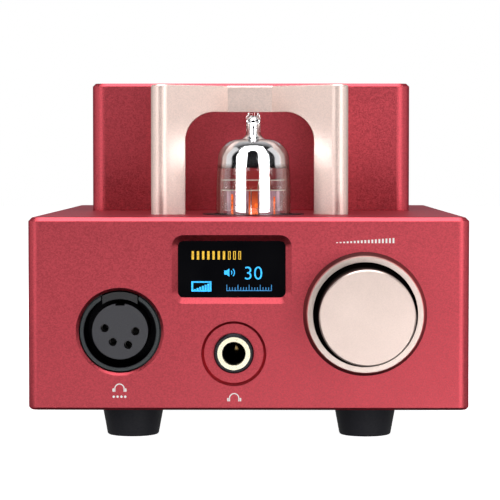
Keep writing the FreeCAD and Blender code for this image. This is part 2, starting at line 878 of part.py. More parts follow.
def make_feet():
    items = []
    for index, (x, depth) in enumerate(FOOT_SPOTS):
        solid = cone(f"FootCone{index}", "FootSoleRadius", "FootTopRadius", "FootHeight", x, depth, "0")
        doc.recompute()
        rounded = doc.addObject("Part::Fillet", f"FootRound{index}")
        rounded.Base = solid
        sole = next(number_ for number_, edge in enumerate(solid.Shape.Edges, start=1)
                    if ring_edge("FootSoleRadius", "0")(edge))
        rounded.Edges = [(sole, number("FootRound"), number("FootRound"))]
        shaft = rod(f"FootBore{index}", "FootScrewRadius", "FootHeight", x, depth, "0")
        sink = rod(f"FootSink{index}", "FootSinkRadius", "FootSinkDepth", x, depth, "0")
        items.append(cut(f"Foot{index}", rounded, shaft, sink))
    keep("feet", group("FeetSet", items))
    spots = [(x, depth, "FootSinkDepth", "up") for x, depth in FOOT_SPOTS]
    items = screws("foot_screws", spots, "FootScrewHead", "FootScrewHeadHeight", "FootScrewRadius",
                   "FootHeight + PlateThick - FootSinkDepth")
    keep("foot_screws", group("FootScrewSet", items))


def make_case_screws():
    """Sixteen equal screws: in the bottom plate, the rear panel, the transformer cover and the guard."""
    spots = []
    for x in both_sides(POST_X):
        for depth in (POST_FRONT, POST_REAR):
            spots.append((x, depth, "FootHeight + ScrewHeadHeight", "up"))
        for height in REAR_SCREW_HEIGHTS:
            spots.append((x, "BoxDepth", height, "forward"))
    for x in both_sides(COVER_POST_X):
        for depth in (COVER_POST_FRONT, COVER_POST_REAR):
            spots.append((x, depth, f"{ROOF} - BoxWall", "up"))
    for x in both_sides(GUARD_SCREW_X):
        for depth in GUARD_SCREW_DEPTHS:
            spots.append((x, depth, f"{ROOF} - BoxWall", "up"))
    items = screws("case_screws", spots, "ScrewHeadRadius", "ScrewHeadHeight", "TapRadius", "ScrewLength")
    keep("case_screws", group("CaseScrewSet", items))


# Display

def make_display():
    window = new_body("display_window", "DisplayX", "DisplayBevelDeep", "DisplayZ - DisplayHeight / 2")
    face = new_sketch(window, "XZ_Plane")
    rectangle(face, "DisplayWidth", "DisplayHeight")
    feature(window, "Pad", face, "WindowThick", flipped=True)
    dress(window, "Fillet", "DisplayCorner", lambda edge: near(edge.BoundBox.YLength, "WindowThick")
          and near(edge.BoundBox.XLength, "0"))
    size = ("DisplayWidth - 2", "PanelThick", "DisplayHeight - 1")
    keep("display_panel", block("PanelGlass", size, "DisplayX", "DisplayBevelDeep + WindowThick",
                                "DisplayZ - (DisplayHeight - 1) / 2"))
    size = ("DisplayBoardWidth", "BoardThick", "DisplayBoardHeight")
    keep("display_board", block("DisplayBoard", size, "DisplayX", "FaceWall",
                                "DisplayZ - DisplayBoardHeight / 2"))


# Volume knob and encoder

def make_knob():
    hub_end = "KnobProud - BushProud - HubGap"
    rim_end = "KnobProud - KnobGap"
    bore_start = "KnobProud - ShaftFront"
    body = turned("knob", [
        ("0", "0"), ("KnobRadius", "0"), ("KnobRadius", rim_end), ("KnobRadius - KnobWall", rim_end),
        ("KnobRadius - KnobWall", "KnobSkin"), ("HubRadius", "KnobSkin"), ("HubRadius", hub_end),
        ("ShaftRadius", hub_end), ("ShaftRadius", bore_start), ("0", bore_start),
    ], "KnobX", "-KnobProud", "KnobZ", upright=False)
    dress(body, "Chamfer", "KnobEdge", ring_edge("KnobRadius", "0", "y"))
    dress(body, "Chamfer", "KnobEdge", ring_edge("KnobRadius", rim_end, "y"))
    access = new_sketch(body, "XY_Plane")
    grub_place = f"{hub_end} - GrubRadius - GrubSetBack"
    circle(access, "GrubRadius", "0", grub_place)
    feature(body, "Pocket", access, "KnobRadius")
    keep("knob_grub_screw", rod("GrubScrew", "GrubRadius", "GrubLength", "KnobX",
                                f"{grub_place} - KnobProud",
                                "KnobZ - ShaftRadius - GrubLength"))
    bezel_floor = "BezelProud - BezelFloor"
    turned("knob_bezel", [
        ("BushRadius", bezel_floor), ("BezelFloorRadius", bezel_floor), ("BezelBore", "0"),
        ("BezelFaceRadius", "0"), ("BezelRadius", "BezelProud"), ("BushRadius", "BezelProud"),
    ], "KnobX", "-BezelProud", "KnobZ", upright=False)


def make_encoder():
    well_end = "FaceWall + ShaftTail + PushRoom"
    tail_bore = "PlungerRadius + ShaftFit"
    housing = block("EncoderHousing", ("EncoderSide", "EncoderDepth", "EncoderSide"), "KnobX", "FaceWall",
                    "KnobZ - EncoderSide / 2")
    bush = rod("EncoderBush", "BushRadius", "BushProud + FaceWall", "KnobX", "-BushProud", "KnobZ", "back")
    well = rod("EncoderWell", "ShaftRadius + ShaftFit", f"BushProud + {well_end}", "KnobX", "-BushProud",
               "KnobZ", "back")
    guide = rod("EncoderGuide", tail_bore, "EncoderDepth", "KnobX", "FaceWall", "KnobZ", "back")
    keep("encoder_body", cut("EncoderBody", join("EncoderSolid", housing, bush), well, guide))
    nut = hexagon("NutHex", "NutFlats", "NutThick", "KnobX", "-BezelFloor - NutThick", "KnobZ", "back")
    thread = rod("NutBore", "BushRadius", "NutThick", "KnobX", "-BezelFloor - NutThick", "KnobZ", "back")
    keep("encoder_nut", cut("EncoderNut", nut, thread))
    length = "ShaftFront + FaceWall + ShaftTail"
    bar = rod("ShaftBar", "ShaftRadius", length, "KnobX", "-ShaftFront", "KnobZ", "back")
    reach = "PlungerReach + PlungerGap"
    end_bore = rod("ShaftEndBore", tail_bore, reach, "KnobX", f"FaceWall + ShaftTail - ({reach})", "KnobZ",
                   "back")
    keep("encoder_shaft", cut("EncoderShaft", bar, end_bore))
    keep("encoder_plunger", rod("EncoderPlunger", "PlungerRadius", "PlungerLength", "KnobX",
                                "FaceWall + ShaftTail - PlungerReach", "KnobZ", "back"))


# Four-pin balanced socket

CONTACT_OFFSETS = (("-4.2", "0.9"), ("4.2", "0.05"), ("-2", "-2.9"), ("2.2", "-3.7"))


def make_balanced_socket():
    flange = "FaceWall - ShellSetBack"
    floor = "ShellDepth - ShellFloor"
    shell = turned("balanced_shell", [
        ("ShellBore", "0"), ("ShellRadius", "0"), ("ShellRadius", flange), ("FlangeRadius", flange),
        ("FlangeRadius", f"{flange} + FlangeThick"), ("ShellRadius", f"{flange} + FlangeThick"),
        ("ShellRadius", "ShellDepth"), ("InsertRadius", "ShellDepth"), ("InsertRadius", floor),
        ("ShellBore", floor),
    ], "BalancedX", "ShellSetBack", "BalancedZ", upright=False)
    notch = new_sketch(shell, "XZ_Plane")
    rectangle(notch, "LatchGapWidth", "LatchNotchHeight", y="InsertRadius")
    feature(shell, "Pocket", notch, "LatchDepth + LatchTravelRoom")

    ring = rod("LatchRing", "ShellRadius", "LatchDepth", "BalancedX", "ShellSetBack + LatchClear",
               "BalancedZ", "back")
    bore = rod("LatchBore", "LatchInner", "LatchDepth", "BalancedX", "ShellSetBack + LatchClear",
               "BalancedZ", "back")
    sector = block("LatchSector", ("LatchGapWidth - 2 * LatchClear", "LatchDepth", "ShellRadius"),
                   "BalancedX", "ShellSetBack + LatchClear", "BalancedZ")
    latch = doc.addObject("Part::Common", "LatchSolid")
    latch.Base = cut("LatchTube", ring, bore)
    latch.Tool = sector
    keep("socket_latch", latch)

    length = "ShellDepth + ShellSetBack - InsertSetBack + InsertTail"
    core = rod("InsertCore", "InsertRadius", length, "BalancedX", "InsertSetBack", "BalancedZ", "back")
    key = block("InsertKey", ("KeyWidth", length, "KeyDepth * 2"), "BalancedX", "InsertSetBack",
                "BalancedZ + InsertRadius - KeyDepth")
    bores = []
    contacts = []
    front = "InsertSetBack + ContactSetBack"
    for index, (right, up) in enumerate(CONTACT_OFFSETS):
        x = f"BalancedX + {right}"
        height = f"BalancedZ + {up}"
        bores.append(rod(f"ContactBore{index}", "ContactBore", length, x, "InsertSetBack", height, "back"))
        sleeve = rod(f"Contact{index}", "ContactBore", f"{length} - ContactSetBack + ContactTail", x, front,
                     height, "back")
        hollow = rod(f"ContactHollow{index}", "ContactBore - ContactWall", "ContactHollow", x, front, height,
                     "back")
        contacts.append(cut(f"ContactSleeve{index}", sleeve, hollow))
    keep("balanced_insert", cut("BalancedInsert", core, key, *bores))
    keep("balanced_contacts", group("BalancedContacts", contacts))


# Quarter-inch socket

def make_jack():
    turned("jack_bush", [
        ("JackBore", "0"), ("JackRingRadius", "0"), ("JackRingRadius", "FaceWall"),
        ("JackBore", "FaceWall"),
    ], "JackX", "0", "JackZ", upright=False)
    nut_end = "RecessDepth - JackNutSetBack"
    nut = turned("jack_nut", [
        ("JackRingRadius", "0"), ("JackNutRadius", "0"), ("JackNutRadius", nut_end),
        ("JackRingRadius", nut_end),
    ], "JackX", "JackNutSetBack", "JackZ", upright=False)
    dress(nut, "Chamfer", "JackNutEdge", ring_edge("JackNutRadius", "0", "y"))
    casing = block("JackCasing", ("JackBodySide", "JackBodyDepth", "JackBodySide"), "JackX", "FaceWall",
                   "JackZ - JackBodySide / 2")
    bore = rod("JackCasingBore", "JackBore", "JackBodyDepth", "JackX", "FaceWall", "JackZ", "back")
    slots = []
    springs = []
    for index in range(SPRING_COUNT):
        depth = f"FaceWall + SpringFirst + {index} * SpringPitch"
        slot_size = ("SpringWidth", "SpringDepth", "JackBodySide / 2")
        slots.append(block(f"JackSlot{index}", slot_size, "JackX", depth, "JackZ"))
        spring_size = ("SpringWidth", "SpringDepth", "SpringHeight")
        springs.append(block(f"JackSpring{index}", spring_size, "JackX", depth, "JackZ + JackBore"))
    keep("jack_body", cut("JackBody", casing, bore, *slots))
    keep("jack_contacts", group("JackContacts", springs))


# Vacuum tube, its holder and the rim of the opening above it

TUBE_BASE = f"{ROOF} - TubeSeat"
HOLDER_TOP = f"{TUBE_BASE} - HolderGap"
HOLDER_BASE = f"{HOLDER_TOP} - HolderHeight"


def tube_rod(name, radius, length, x, depth, rise):
    """Upright cylinder placed from the middle of the tube's base."""
    return rod(name, radius, length, f"TubeX + {x}", f"TubeDepth + {depth}", f"{TUBE_BASE} + {rise}")


def pin_offsets():
    """Places of the pins: ten equal steps round a circle, one of them left out at the back."""
    for index in range(PIN_COUNT):
        angle = f"{(index - PIN_COUNT // 2) * PIN_STEP} deg"
        yield f"PinCircle * sin({angle})", f"-PinCircle * cos({angle})"


def make_tube_glass():
    """Envelope, drawn out to a sealed tip on top, and the glass button that closes it below."""
    dome = "TubeSeat + DomeRise"
    tip = "TubeSeat + TubeRise"
    inside = "TubeRadius - GlassWall"
    shoulder_inside = "ShoulderRadius - GlassWall"
    inside_dome = f"{dome} - GlassWall"
    glass = turned("tube_glass", [
        (inside, "0"), ("TubeRadius", "0"), ("TubeRadius", "TubeTaper"), ("ShoulderRadius", dome),
        ("TipRadius", dome),
        ("TipRadius", f"{tip} - TipTaper"), ("TipEndRadius", tip), ("0", tip), ("0", inside_dome),
        (shoulder_inside, inside_dome), (inside, "TubeTaper"),
    ], "TubeX", "TubeDepth", TUBE_BASE)
    dress(glass, "Fillet", "DomeRound", ring_edge("ShoulderRadius", dome))
    dress(glass, "Fillet", "DomeRound - GlassWall", ring_edge(shoulder_inside, inside_dome))
    dress(glass, "Fillet", "TipRound", ring_edge("TipRadius", dome))
    dress(glass, "Fillet", "ButtonRound", ring_edge("TubeRadius", "0"))
    keep("tube_button", tube_rod("TubeButton", inside, "ButtonThick", "0", "0", "0"))


def make_tube_inside():
    pins = []
    for index, (x, depth) in enumerate(pin_offsets()):
        pins.append(tube_rod(f"TubePin{index}", "PinRadius", "PinLength", x, depth, "-PinLength"))
    keep("tube_pins", group("TubePins", pins))

    anodes = []
    cathodes = []
    rods = []
    top = "MiddleSpacer"
    bottom = "LowerSpacer + SpacerThick"
    for side, x in zip(("Left", "Right"), both_sides("AnodePitch / 2")):
        outside = block(f"Anode{side}", ("AnodeWidth", "AnodeDepth", f"{top} - ({bottom})"), f"TubeX + {x}",
                        "TubeDepth - AnodeDepth / 2", f"{TUBE_BASE} + {bottom}")
        hollow = block(f"AnodeHollow{side}",
                       ("AnodeWidth - 2 * AnodeWall", "AnodeDepth - 2 * AnodeWall", f"{top} - ({bottom})"),
                       f"TubeX + {x}", "TubeDepth - AnodeDepth / 2 + AnodeWall", f"{TUBE_BASE} + {bottom}")
        anodes.append(cut(f"AnodeBox{side}", outside, hollow))
        cathodes.append(tube_rod(f"Cathode{side}", "CathodeRadius",
                                 "MiddleSpacer - LowerSpacer + 2 * CathodeOverhang", x, "0",
                                 "LowerSpacer - CathodeOverhang"))
        for depth in both_sides("RodDepth"):
            rods.append(tube_rod(f"GridRod{len(rods)}", "RodRadius",
                                 "UpperSpacer - ButtonThick + CathodeOverhang", x, depth, "ButtonThick"))
    keep("tube_anodes", group("TubeAnodes", anodes))
    keep("tube_cathodes", group("TubeCathodes", cathodes))
    keep("tube_grid_rods", group("TubeGridRods", rods))

    spacers = []
    for name, height in (("Upper", "UpperSpacer"), ("Middle", "MiddleSpacer"), ("Lower", "LowerSpacer")):
        disc = tube_rod(f"{name}Disc", "SpacerRadius", "SpacerThick", "0", "0", height)
        passing = rods if name == "Upper" else rods + cathodes
        spacers.append(cut(f"{name}Spacer", disc, *passing))
    keep("tube_spacers", group("TubeSpacers", spacers))

    ring = doc.addObject("Part::Torus", "GetterTorus")
    bind(ring, Radius1="GetterRadius", Radius2="GetterWire")
    place(ring, "TubeX", "TubeDepth", f"{TUBE_BASE} + GetterHeight")
    stem = tube_rod("GetterStem", "GetterWire", "GetterHeight - UpperSpacer - SpacerThick",
                    "GetterRadius", "0", "UpperSpacer + SpacerThick")
    keep("tube_getter", join("TubeGetter", ring, stem))


def make_tube_holder():
    column = rod("HolderColumn", "HolderRadius", "HolderHeight", "TubeX", "TubeDepth", HOLDER_BASE)
    middle = rod("HolderMiddle", "HolderBore", "HolderHeight", "TubeX", "TubeDepth", HOLDER_BASE)
    wells = []
    clips = []
    for index, (x, depth) in enumerate(pin_offsets()):
        spot = (f"TubeX + {x}", f"TubeDepth + {depth}", HOLDER_BASE)
        wells.append(rod(f"HolderWell{index}", "ContactRadius", "HolderHeight", *spot))
        sleeve = rod(f"Clip{index}", "ContactRadius", "HolderHeight - ClipSetBack", *spot)
        bore = rod(f"ClipBore{index}", "PinRadius + ShaftFit", "HolderHeight - ClipSetBack", *spot)
        clips.append(cut(f"ClipSleeve{index}", sleeve, bore))
    keep("tube_holder", cut("TubeHolder", column, middle, *wells))
    keep("holder_contacts", group("HolderContacts", clips))
    turned("roof_rim", [
        ("RimBore", "0"), ("RoofHoleRadius", "0"), ("RoofHoleRadius", "BoxWall"), ("RimRadius", "BoxWall"),
        ("RimRadius", "BoxWall + RimProud"), ("RimBore", "BoxWall + RimProud"),
    ], "TubeX", "TubeDepth", f"{ROOF} - BoxWall")
    size = ("TubeBoardSide", "TubeBoardSide", "BoardThick")
    keep("tube_board", block("TubeBoard", size, "TubeX", "TubeBoardFront", f"{HOLDER_BASE} - BoardThick"))


# Boards inside and what they carry

BOARD_BASE = "FootHeight + PlateThick + BoardRise"
BOARD_TOP = f"{BOARD_BASE} + BoardThick"


def make_boards():
    holes = []
    posts = []
    spots = []
    for x in both_sides("BoardWidth / 2 - BoardInset"):
        for depth in ("BoardFront + BoardInset", "BoardFront + BoardDepth - BoardInset"):
            index = len(holes)
            holes.append(rod(f"BoardHole{index}", "TapRadius", "BoardThick", x, depth, BOARD_BASE))
            column = rod(f"PostColumn{index}", "PostRadius", "BoardRise", x, depth, "FootHeight + PlateThick")
            thread = rod(f"PostThread{index}", "TapRadius", "BoardRise", x, depth, "FootHeight + PlateThick")
            posts.append(cut(f"Post{index}", column, thread))
            spots.append((x, depth, BOARD_TOP, "down"))
    board = block("BoardSheet", ("BoardWidth", "BoardDepth", "BoardThick"), "0", "BoardFront", BOARD_BASE)
    keep("main_board", cut("MainBoard", board, *holes))
    items = screws("board_screws", spots, "ScrewHeadRadius", "ScrewHeadHeight", "TapRadius",
                   "BoardThick + BoardRise")
    keep("board_screws", group("BoardScrewSet", items))
    for x in both_sides("TubeBoardSide / 2 - PostRadius"):
        for depth in ("TubeBoardFront + PostRadius", "TubeBoardFront + TubeBoardSide - PostRadius"):
            tall = f"{HOLDER_BASE} - BoardThick - FootHeight - PlateThick"
            posts.append(rod(f"TallPost{len(posts)}", "PostRadius", tall, f"TubeX + {x}", depth,
                             "FootHeight + PlateThick"))
    keep("board_posts", group("BoardPosts", posts))


def make_power_stage():
    cans = []
    for x in both_sides("CanSpread"):
        for step in range(2):
            cans.append(rod(f"Can{len(cans)}", "BigCanRadius", "BigCanHeight", x,
                            f"CanFront + {step} * CanPitch", BOARD_TOP))
    keep("reservoir_capacitors", group("ReservoirCapacitors", cans))

    sinks = []
    devices = []
    for side, x in zip(("Right", "Left"), both_sides("SinkX")):
        bar = block(f"SinkBar{side}", ("SinkWidth", "SinkDepth", "SinkHeight"), x, "SinkFront", BOARD_TOP)
        gaps = []
        for index in range(FIN_GAPS):
            gaps.append(block(f"SinkGap{side}{index}", ("FinGap", "SinkDepth", "SinkHeight - SinkFloor"),
                              f"{x} + ({index} - {FIN_GAPS - 1} / 2) * 2 * FinGap", "SinkFront",
                              f"{BOARD_TOP} + SinkFloor"))
        sinks.append(cut(f"Sink{side}", bar, *gaps))
        inward = "SinkX - SinkWidth / 2 - DeviceDepth / 2"
        for step in range(2):
            devices.append(block(f"Device{side}{step}", ("DeviceDepth", "DeviceWidth", "DeviceHeight"),
                                 inward if side == "Right" else f"-({inward})",
                                 f"SinkFront + DeviceFirst + {step} * DevicePitch", BOARD_TOP))
    keep("heat_sinks", group("HeatSinks", sinks))
    keep("output_transistors", group("OutputTransistors", devices))

    relays = []
    chips = []
    for index in range(RELAY_COUNT):
        relays.append(block(f"Relay{index}", ("RelayWidth", "RelayDepth", "RelayHeight"),
                            f"RelayX + {index} * RelayPitch", "RelayFront", BOARD_TOP))
    for index in range(CHIP_COUNT):
        chips.append(block(f"Chip{index}", ("ChipSide", "ChipSide", "ChipHeight"),
                           f"ChipX + {index} * ChipPitch", "ChipFront", BOARD_TOP))
    keep("relays", group("Relays", relays))
    keep("signal_chips", group("SignalChips", chips))


def make_transformer():
    """Ring transformer standing on the roof, held down by a dished plate and one bolt."""
    winding = turned("toroid_winding", [
        ("ToroidBore", "0"), ("ToroidRadius", "0"), ("ToroidRadius", "ToroidHeight"),
        ("ToroidBore", "ToroidHeight"),
    ], "0", "ToroidDepth", f"{ROOF} + PadThick")

    def rim(edge):
        return ring_edge("ToroidRadius", "0")(edge) or ring_edge("ToroidRadius", "ToroidHeight")(edge)
    dress(winding, "Fillet", "ToroidRound", rim)
    pads = []
    for index, height in enumerate((ROOF, f"{ROOF} + PadThick + ToroidHeight")):
        disc = rod(f"PadDisc{index}", "DishRadius", "PadThick", "0", "ToroidDepth", height)
        bore = rod(f"PadBore{index}", "ToroidBoltRadius", "PadThick", "0", "ToroidDepth", height)
        pads.append(cut(f"Pad{index}", disc, bore))
    keep("toroid_pads", group("ToroidPads", pads))
    dish_base = f"{ROOF} + 2 * PadThick + ToroidHeight"
    dish = rod("DishDisc", "DishRadius", "DishThick", "0", "ToroidDepth", dish_base)
    hole = rod("DishHole", "ToroidBoltRadius", "DishThick", "0", "ToroidDepth", dish_base)
    keep("toroid_dish", cut("ToroidDish", dish, hole))
    seat = f"{dish_base} + DishThick"
    nut_base = f"{ROOF} - BoxWall - ToroidNut"
    foot = f"{nut_base} - ToroidBoltTail"
    head = hexagon("BoltHead", "ToroidBoltFlats", "ToroidBoltHead", "0", "ToroidDepth", seat)
    shank = rod("BoltShank", "ToroidBoltRadius", f"{seat} - ({foot})", "0", "ToroidDepth", foot)
    nut = hexagon("BoltNut", "ToroidBoltFlats", "ToroidNut", "0", "ToroidDepth", nut_base)
    thread = rod("BoltNutBore", "ToroidBoltRadius", "ToroidNut", "0", "ToroidDepth", nut_base)
    bolt = join("BoltSolid", head, shank)
    keep("toroid_bolt", group("ToroidBolt", [bolt, cut("BoltNutSolid", nut, thread)]))


# Rear connectors

def flanged_block(label, x, height, flange, core):
    """Body with a flange on the rear panel and a block in front of it; sizes are (wide, tall, deep)."""
    body = new_body(label, x, "BoxDepth", height)
    rim = new_sketch(body, "XZ_Plane")
    rectangle(rim, flange[0], flange[1], y=f"-{flange[1]} / 2")
    feature(body, "Pad", rim, flange[2], flipped=True)
    stem = new_sketch(body, "XZ_Plane")
    rectangle(stem, core[0], core[1], y=f"-{core[1]} / 2")
    feature(body, "Pad", stem, core[2])
    return body


def make_power_inlet():
    body = flanged_block("power_inlet", "InletX", "ConnectorZ",
                         ("InletFlangeWidth", "InletFlangeHeight", "InletFlange"),
                         ("InletWidth", "InletHeight", "InletBodyDepth"))
    mouth = new_sketch(body, "XZ_Plane", "-InletFlange")
    half = "SlotWidth / 2"
    low = "SlotRise - SlotHeight / 2"
    high = "SlotRise + SlotHeight / 2"
    lean = "SlotHeight / 3"
    outline(mouth, [
        (f"-{half}", low), (half, low), (half, f"{high} - {lean}"), (f"{half} - {lean}", high),
        (f"{lean} - {half}", high), (f"-{half}", f"{high} - {lean}"),
    ])
    feature(body, "Pocket", mouth, "SlotDepth", flipped=True)
    well = new_sketch(body, "XZ_Plane", "-InletFlange")
    tall = "DrawerHeight + 2 * DrawerClear"
    rectangle(well, "DrawerWidth + 2 * DrawerClear", tall, y=f"-DrawerDrop - ({tall}) / 2")
    feature(body, "Pocket", well, "DrawerDepth + DrawerClear", flipped=True)

    slot_floor = "BoxDepth + InletFlange - SlotDepth"
    pins = []
    for index, (x, up) in enumerate((("-BladeSpread", "-BladeStagger"), ("0", "BladeStagger"),
                                     ("BladeSpread", "-BladeStagger"))):
        height = f"ConnectorZ + SlotRise + {up} - BladeHeight / 2"
        pins.append(block(f"InletPin{index}", ("BladeWidth", "SlotDepth - BladeSetBack", "BladeHeight"),
                          f"InletX + {x}", slot_floor, height))
        pins.append(block(f"InletTail{index}", ("TailThick", "TailLength", "BladeHeight"), f"InletX + {x}",
                          "BoxDepth - InletBodyDepth - TailLength", height))
    keep("inlet_pins", group("InletPins", pins))

    height = "ConnectorZ - DrawerDrop"
    lip_depth = "BoxDepth + InletFlange + DrawerClear"
    tray = block("DrawerTray", ("DrawerWidth", "DrawerDepth + DrawerClear", "DrawerHeight"), "InletX",
                 f"{lip_depth} - DrawerDepth - DrawerClear", f"{height} - DrawerHeight / 2")
    lip = block("DrawerLip", ("DrawerLipWidth", "DrawerLip", "DrawerLipHeight"), "InletX", lip_depth,
                f"{height} - DrawerLipHeight / 2")
    grip = block("DrawerGrip", ("GripWidth", "DrawerLip / 2", "GripHeight"), "InletX",
                 f"{lip_depth} + DrawerLip / 2",
                 f"{height} - DrawerLipHeight / 2")
    keep("fuse_drawer", cut("FuseDrawer", join("DrawerSolid", tray, lip), grip))


def make_power_switch():
    body = flanged_block("power_switch_body", "SwitchX", "ConnectorZ",
                         ("SwitchFlangeWidth", "SwitchFlangeHeight", "SwitchFlange"),
                         ("SwitchWidth", "SwitchHeight", "SwitchBodyDepth"))
    well = new_sketch(body, "XZ_Plane", "-SwitchFlange")
    rectangle(well, "SwitchWellWidth", "SwitchWellHeight", y="-SwitchWellHeight / 2")
    feature(body, "Pocket", well, "SwitchWellDepth", flipped=True)
    bearings = new_sketch(body, "YZ_Plane", "-(SwitchWellWidth / 2 + TrunnionSeat)")
    circle(bearings, "TrunnionRadius + ShaftFit", "HingeProud", "0")
    feature(body, "Pocket", bearings, "SwitchWellWidth + 2 * TrunnionSeat", flipped=True)

    rocker = new_body("power_rocker", "SwitchX", "BoxDepth + HingeProud", "ConnectorZ")
    bind(rocker, Placement__Rotation__Angle="-RockerTilt")
    rocker.Placement.Rotation.Axis = FreeCAD.Vector(1, 0, 0)
    side = new_sketch(rocker, "YZ_Plane", "-RockerWidth / 2")
    outline(side, [
        ("RockerCrest", "-RockerHalf"), ("RockerValley", "0"), ("RockerCrest", "RockerHalf"),
        ("-RockerBack", "RockerHalf - RockerBack"), ("-RockerBack", "-(RockerHalf - RockerBack)"),
    ])
    feature(rocker, "Pad", side, "RockerWidth")
    reach = "SwitchWellWidth / 2 + TrunnionSeat - TrunnionEndGap"
    stubs = new_sketch(rocker, "YZ_Plane", f"-({reach})")
    circle(stubs, "TrunnionRadius", "0", "0")
    feature(rocker, "Pad", stubs, f"2 * ({reach})")


def make_digital_sockets():
    size = ("UsbWidth", "UsbDepth + UsbProud", "UsbHeight")
    casing = block("UsbCasing", size, "UsbX", "BoxDepth - UsbDepth", "UpperZ - UsbHeight / 2")
    mouth_depth = "BoxDepth + UsbProud - UsbMouthDepth"
    mouth = block("UsbMouth", ("UsbMouthWidth", "UsbMouthDepth", "UsbMouthHeight"), "UsbX", mouth_depth,
                  "UpperZ - UsbMouthHeight / 2")
    size = ("UsbTongueWidth", "UsbMouthDepth - UsbTongueSetBack", "UsbTongueHeight")
    tongue = block("UsbTongue", size, "UsbX", mouth_depth, "UpperZ - UsbTongueHeight / 2")
    keep("usb_socket", group("UsbSocket", [cut("UsbShell", casing, mouth), tongue]))

    size = ("OpticalSide", "OpticalDepth + OpticalProud", "OpticalSide")
    face = "BoxDepth + OpticalProud"
    casing = block("OpticalCasing", size, "UsbX", "BoxDepth - OpticalDepth", "LowerZ - OpticalSide / 2")
    mouth = block("OpticalWell", ("OpticalMouth", "OpticalMouthDepth", "OpticalMouth"), "UsbX",
                  f"{face} - OpticalMouthDepth", "LowerZ - OpticalMouth / 2")
    keep("optical_socket", cut("OpticalSocket", casing, mouth))
    door = block("ShutterDoor", ("ShutterSide", "ShutterThick", "ShutterSide - ShutterThick / 2"), "UsbX",
                 f"{face} - ShutterSetBack - ShutterThick", "LowerZ - ShutterSide / 2")
    barrel = rod("ShutterBarrel", "ShutterThick / 2", "ShutterSide", "UsbX - ShutterSide / 2",
                 f"{face} - ShutterSetBack - ShutterThick / 2", "LowerZ + ShutterSide / 2 - ShutterThick / 2",
                 "right")
    keep("optical_shutter", join("OpticalShutter", door, barrel))


def make_phono_sockets():
    barrels = []
    liners = []
    length = "RearThick + BarrelProud"
    start = f"{REAR_INSIDE} - BarrelTail"
    for index, (x, height) in enumerate(PHONO_SPOTS):
        outside = rod(f"Barrel{index}", "BarrelRadius", length, x, REAR_INSIDE, height, "back")
        collar = rod(f"Collar{index}", "CollarRadius", "CollarThick", x, "BoxDepth", height, "back")
        bore = rod(f"BarrelBore{index}", "BarrelBore", length, x, REAR_INSIDE, height, "back")
        barrels.append(cut(f"PhonoBarrel{index}", join(f"BarrelSolid{index}", outside, collar), bore))
        liner = rod(f"Liner{index}", "BarrelBore", f"BarrelTail + {length} - LinerSetBack", x, start, height,
                    "back")
        centre = rod(f"LinerBore{index}", "CentreBore", f"BarrelTail + {length}", x, start, height, "back")
        liners.append(cut(f"PhonoLiner{index}", liner, centre))
    keep("phono_barrels", group("PhonoBarrels", barrels))
    keep("phono_liners", group("PhonoLiners", liners))


def check_document():
    """Stop at the first failed object or unsound sub-part."""
    doc.recompute()
    for item in doc.Objects:
        if "Invalid" in item.State or "Error" in item.State:
            raise RuntimeError(f"{item.Label}: {item.State}")
    for label, item in parts.items():
        if item.Shape.isNull() or not item.Shape.isValid():
            raise RuntimeError(f"{label}: unsound shape")


def write_parts():
    os.makedirs("parts", exist_ok=True)
    for label, item in parts.items():
        item.Shape.exportStep(f"parts/{label}.step")


make_chassis_shell()
make_rear_panel()
make_bottom_plate()
make_transformer_cover()
make_tube_guard()
make_feet()
make_case_screws()
make_display()
make_knob()
make_encoder()
make_balanced_socket()
make_jack()
make_tube_glass()
make_tube_inside()
make_tube_holder()
make_boards()
make_power_stage()
make_transformer()
make_power_inlet()
make_power_switch()
make_digital_sockets()
make_phono_sockets()
check_document()
write_parts()
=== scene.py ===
"""Looks of a desktop tube headphone amplifier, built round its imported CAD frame."""
import math

import bmesh
import bpy
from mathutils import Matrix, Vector


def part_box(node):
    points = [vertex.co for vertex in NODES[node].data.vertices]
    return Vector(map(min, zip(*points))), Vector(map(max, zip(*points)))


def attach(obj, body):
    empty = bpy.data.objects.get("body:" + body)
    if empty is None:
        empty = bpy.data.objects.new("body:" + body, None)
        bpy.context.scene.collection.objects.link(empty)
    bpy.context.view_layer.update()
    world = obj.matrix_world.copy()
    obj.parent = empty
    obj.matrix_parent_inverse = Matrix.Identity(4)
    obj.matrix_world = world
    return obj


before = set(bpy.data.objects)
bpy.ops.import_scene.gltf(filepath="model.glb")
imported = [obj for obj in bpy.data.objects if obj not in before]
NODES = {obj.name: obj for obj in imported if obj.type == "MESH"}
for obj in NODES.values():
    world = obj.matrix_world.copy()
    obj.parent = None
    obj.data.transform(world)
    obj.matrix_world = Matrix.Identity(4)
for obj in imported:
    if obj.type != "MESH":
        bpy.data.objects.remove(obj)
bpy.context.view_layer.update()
MM = 0.001
SCENE = bpy.context.scene


def centre_of(node):
    low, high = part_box(node)
    return (low + high) / 2


# Materials: each varies in colour and roughness, and most of them in relief


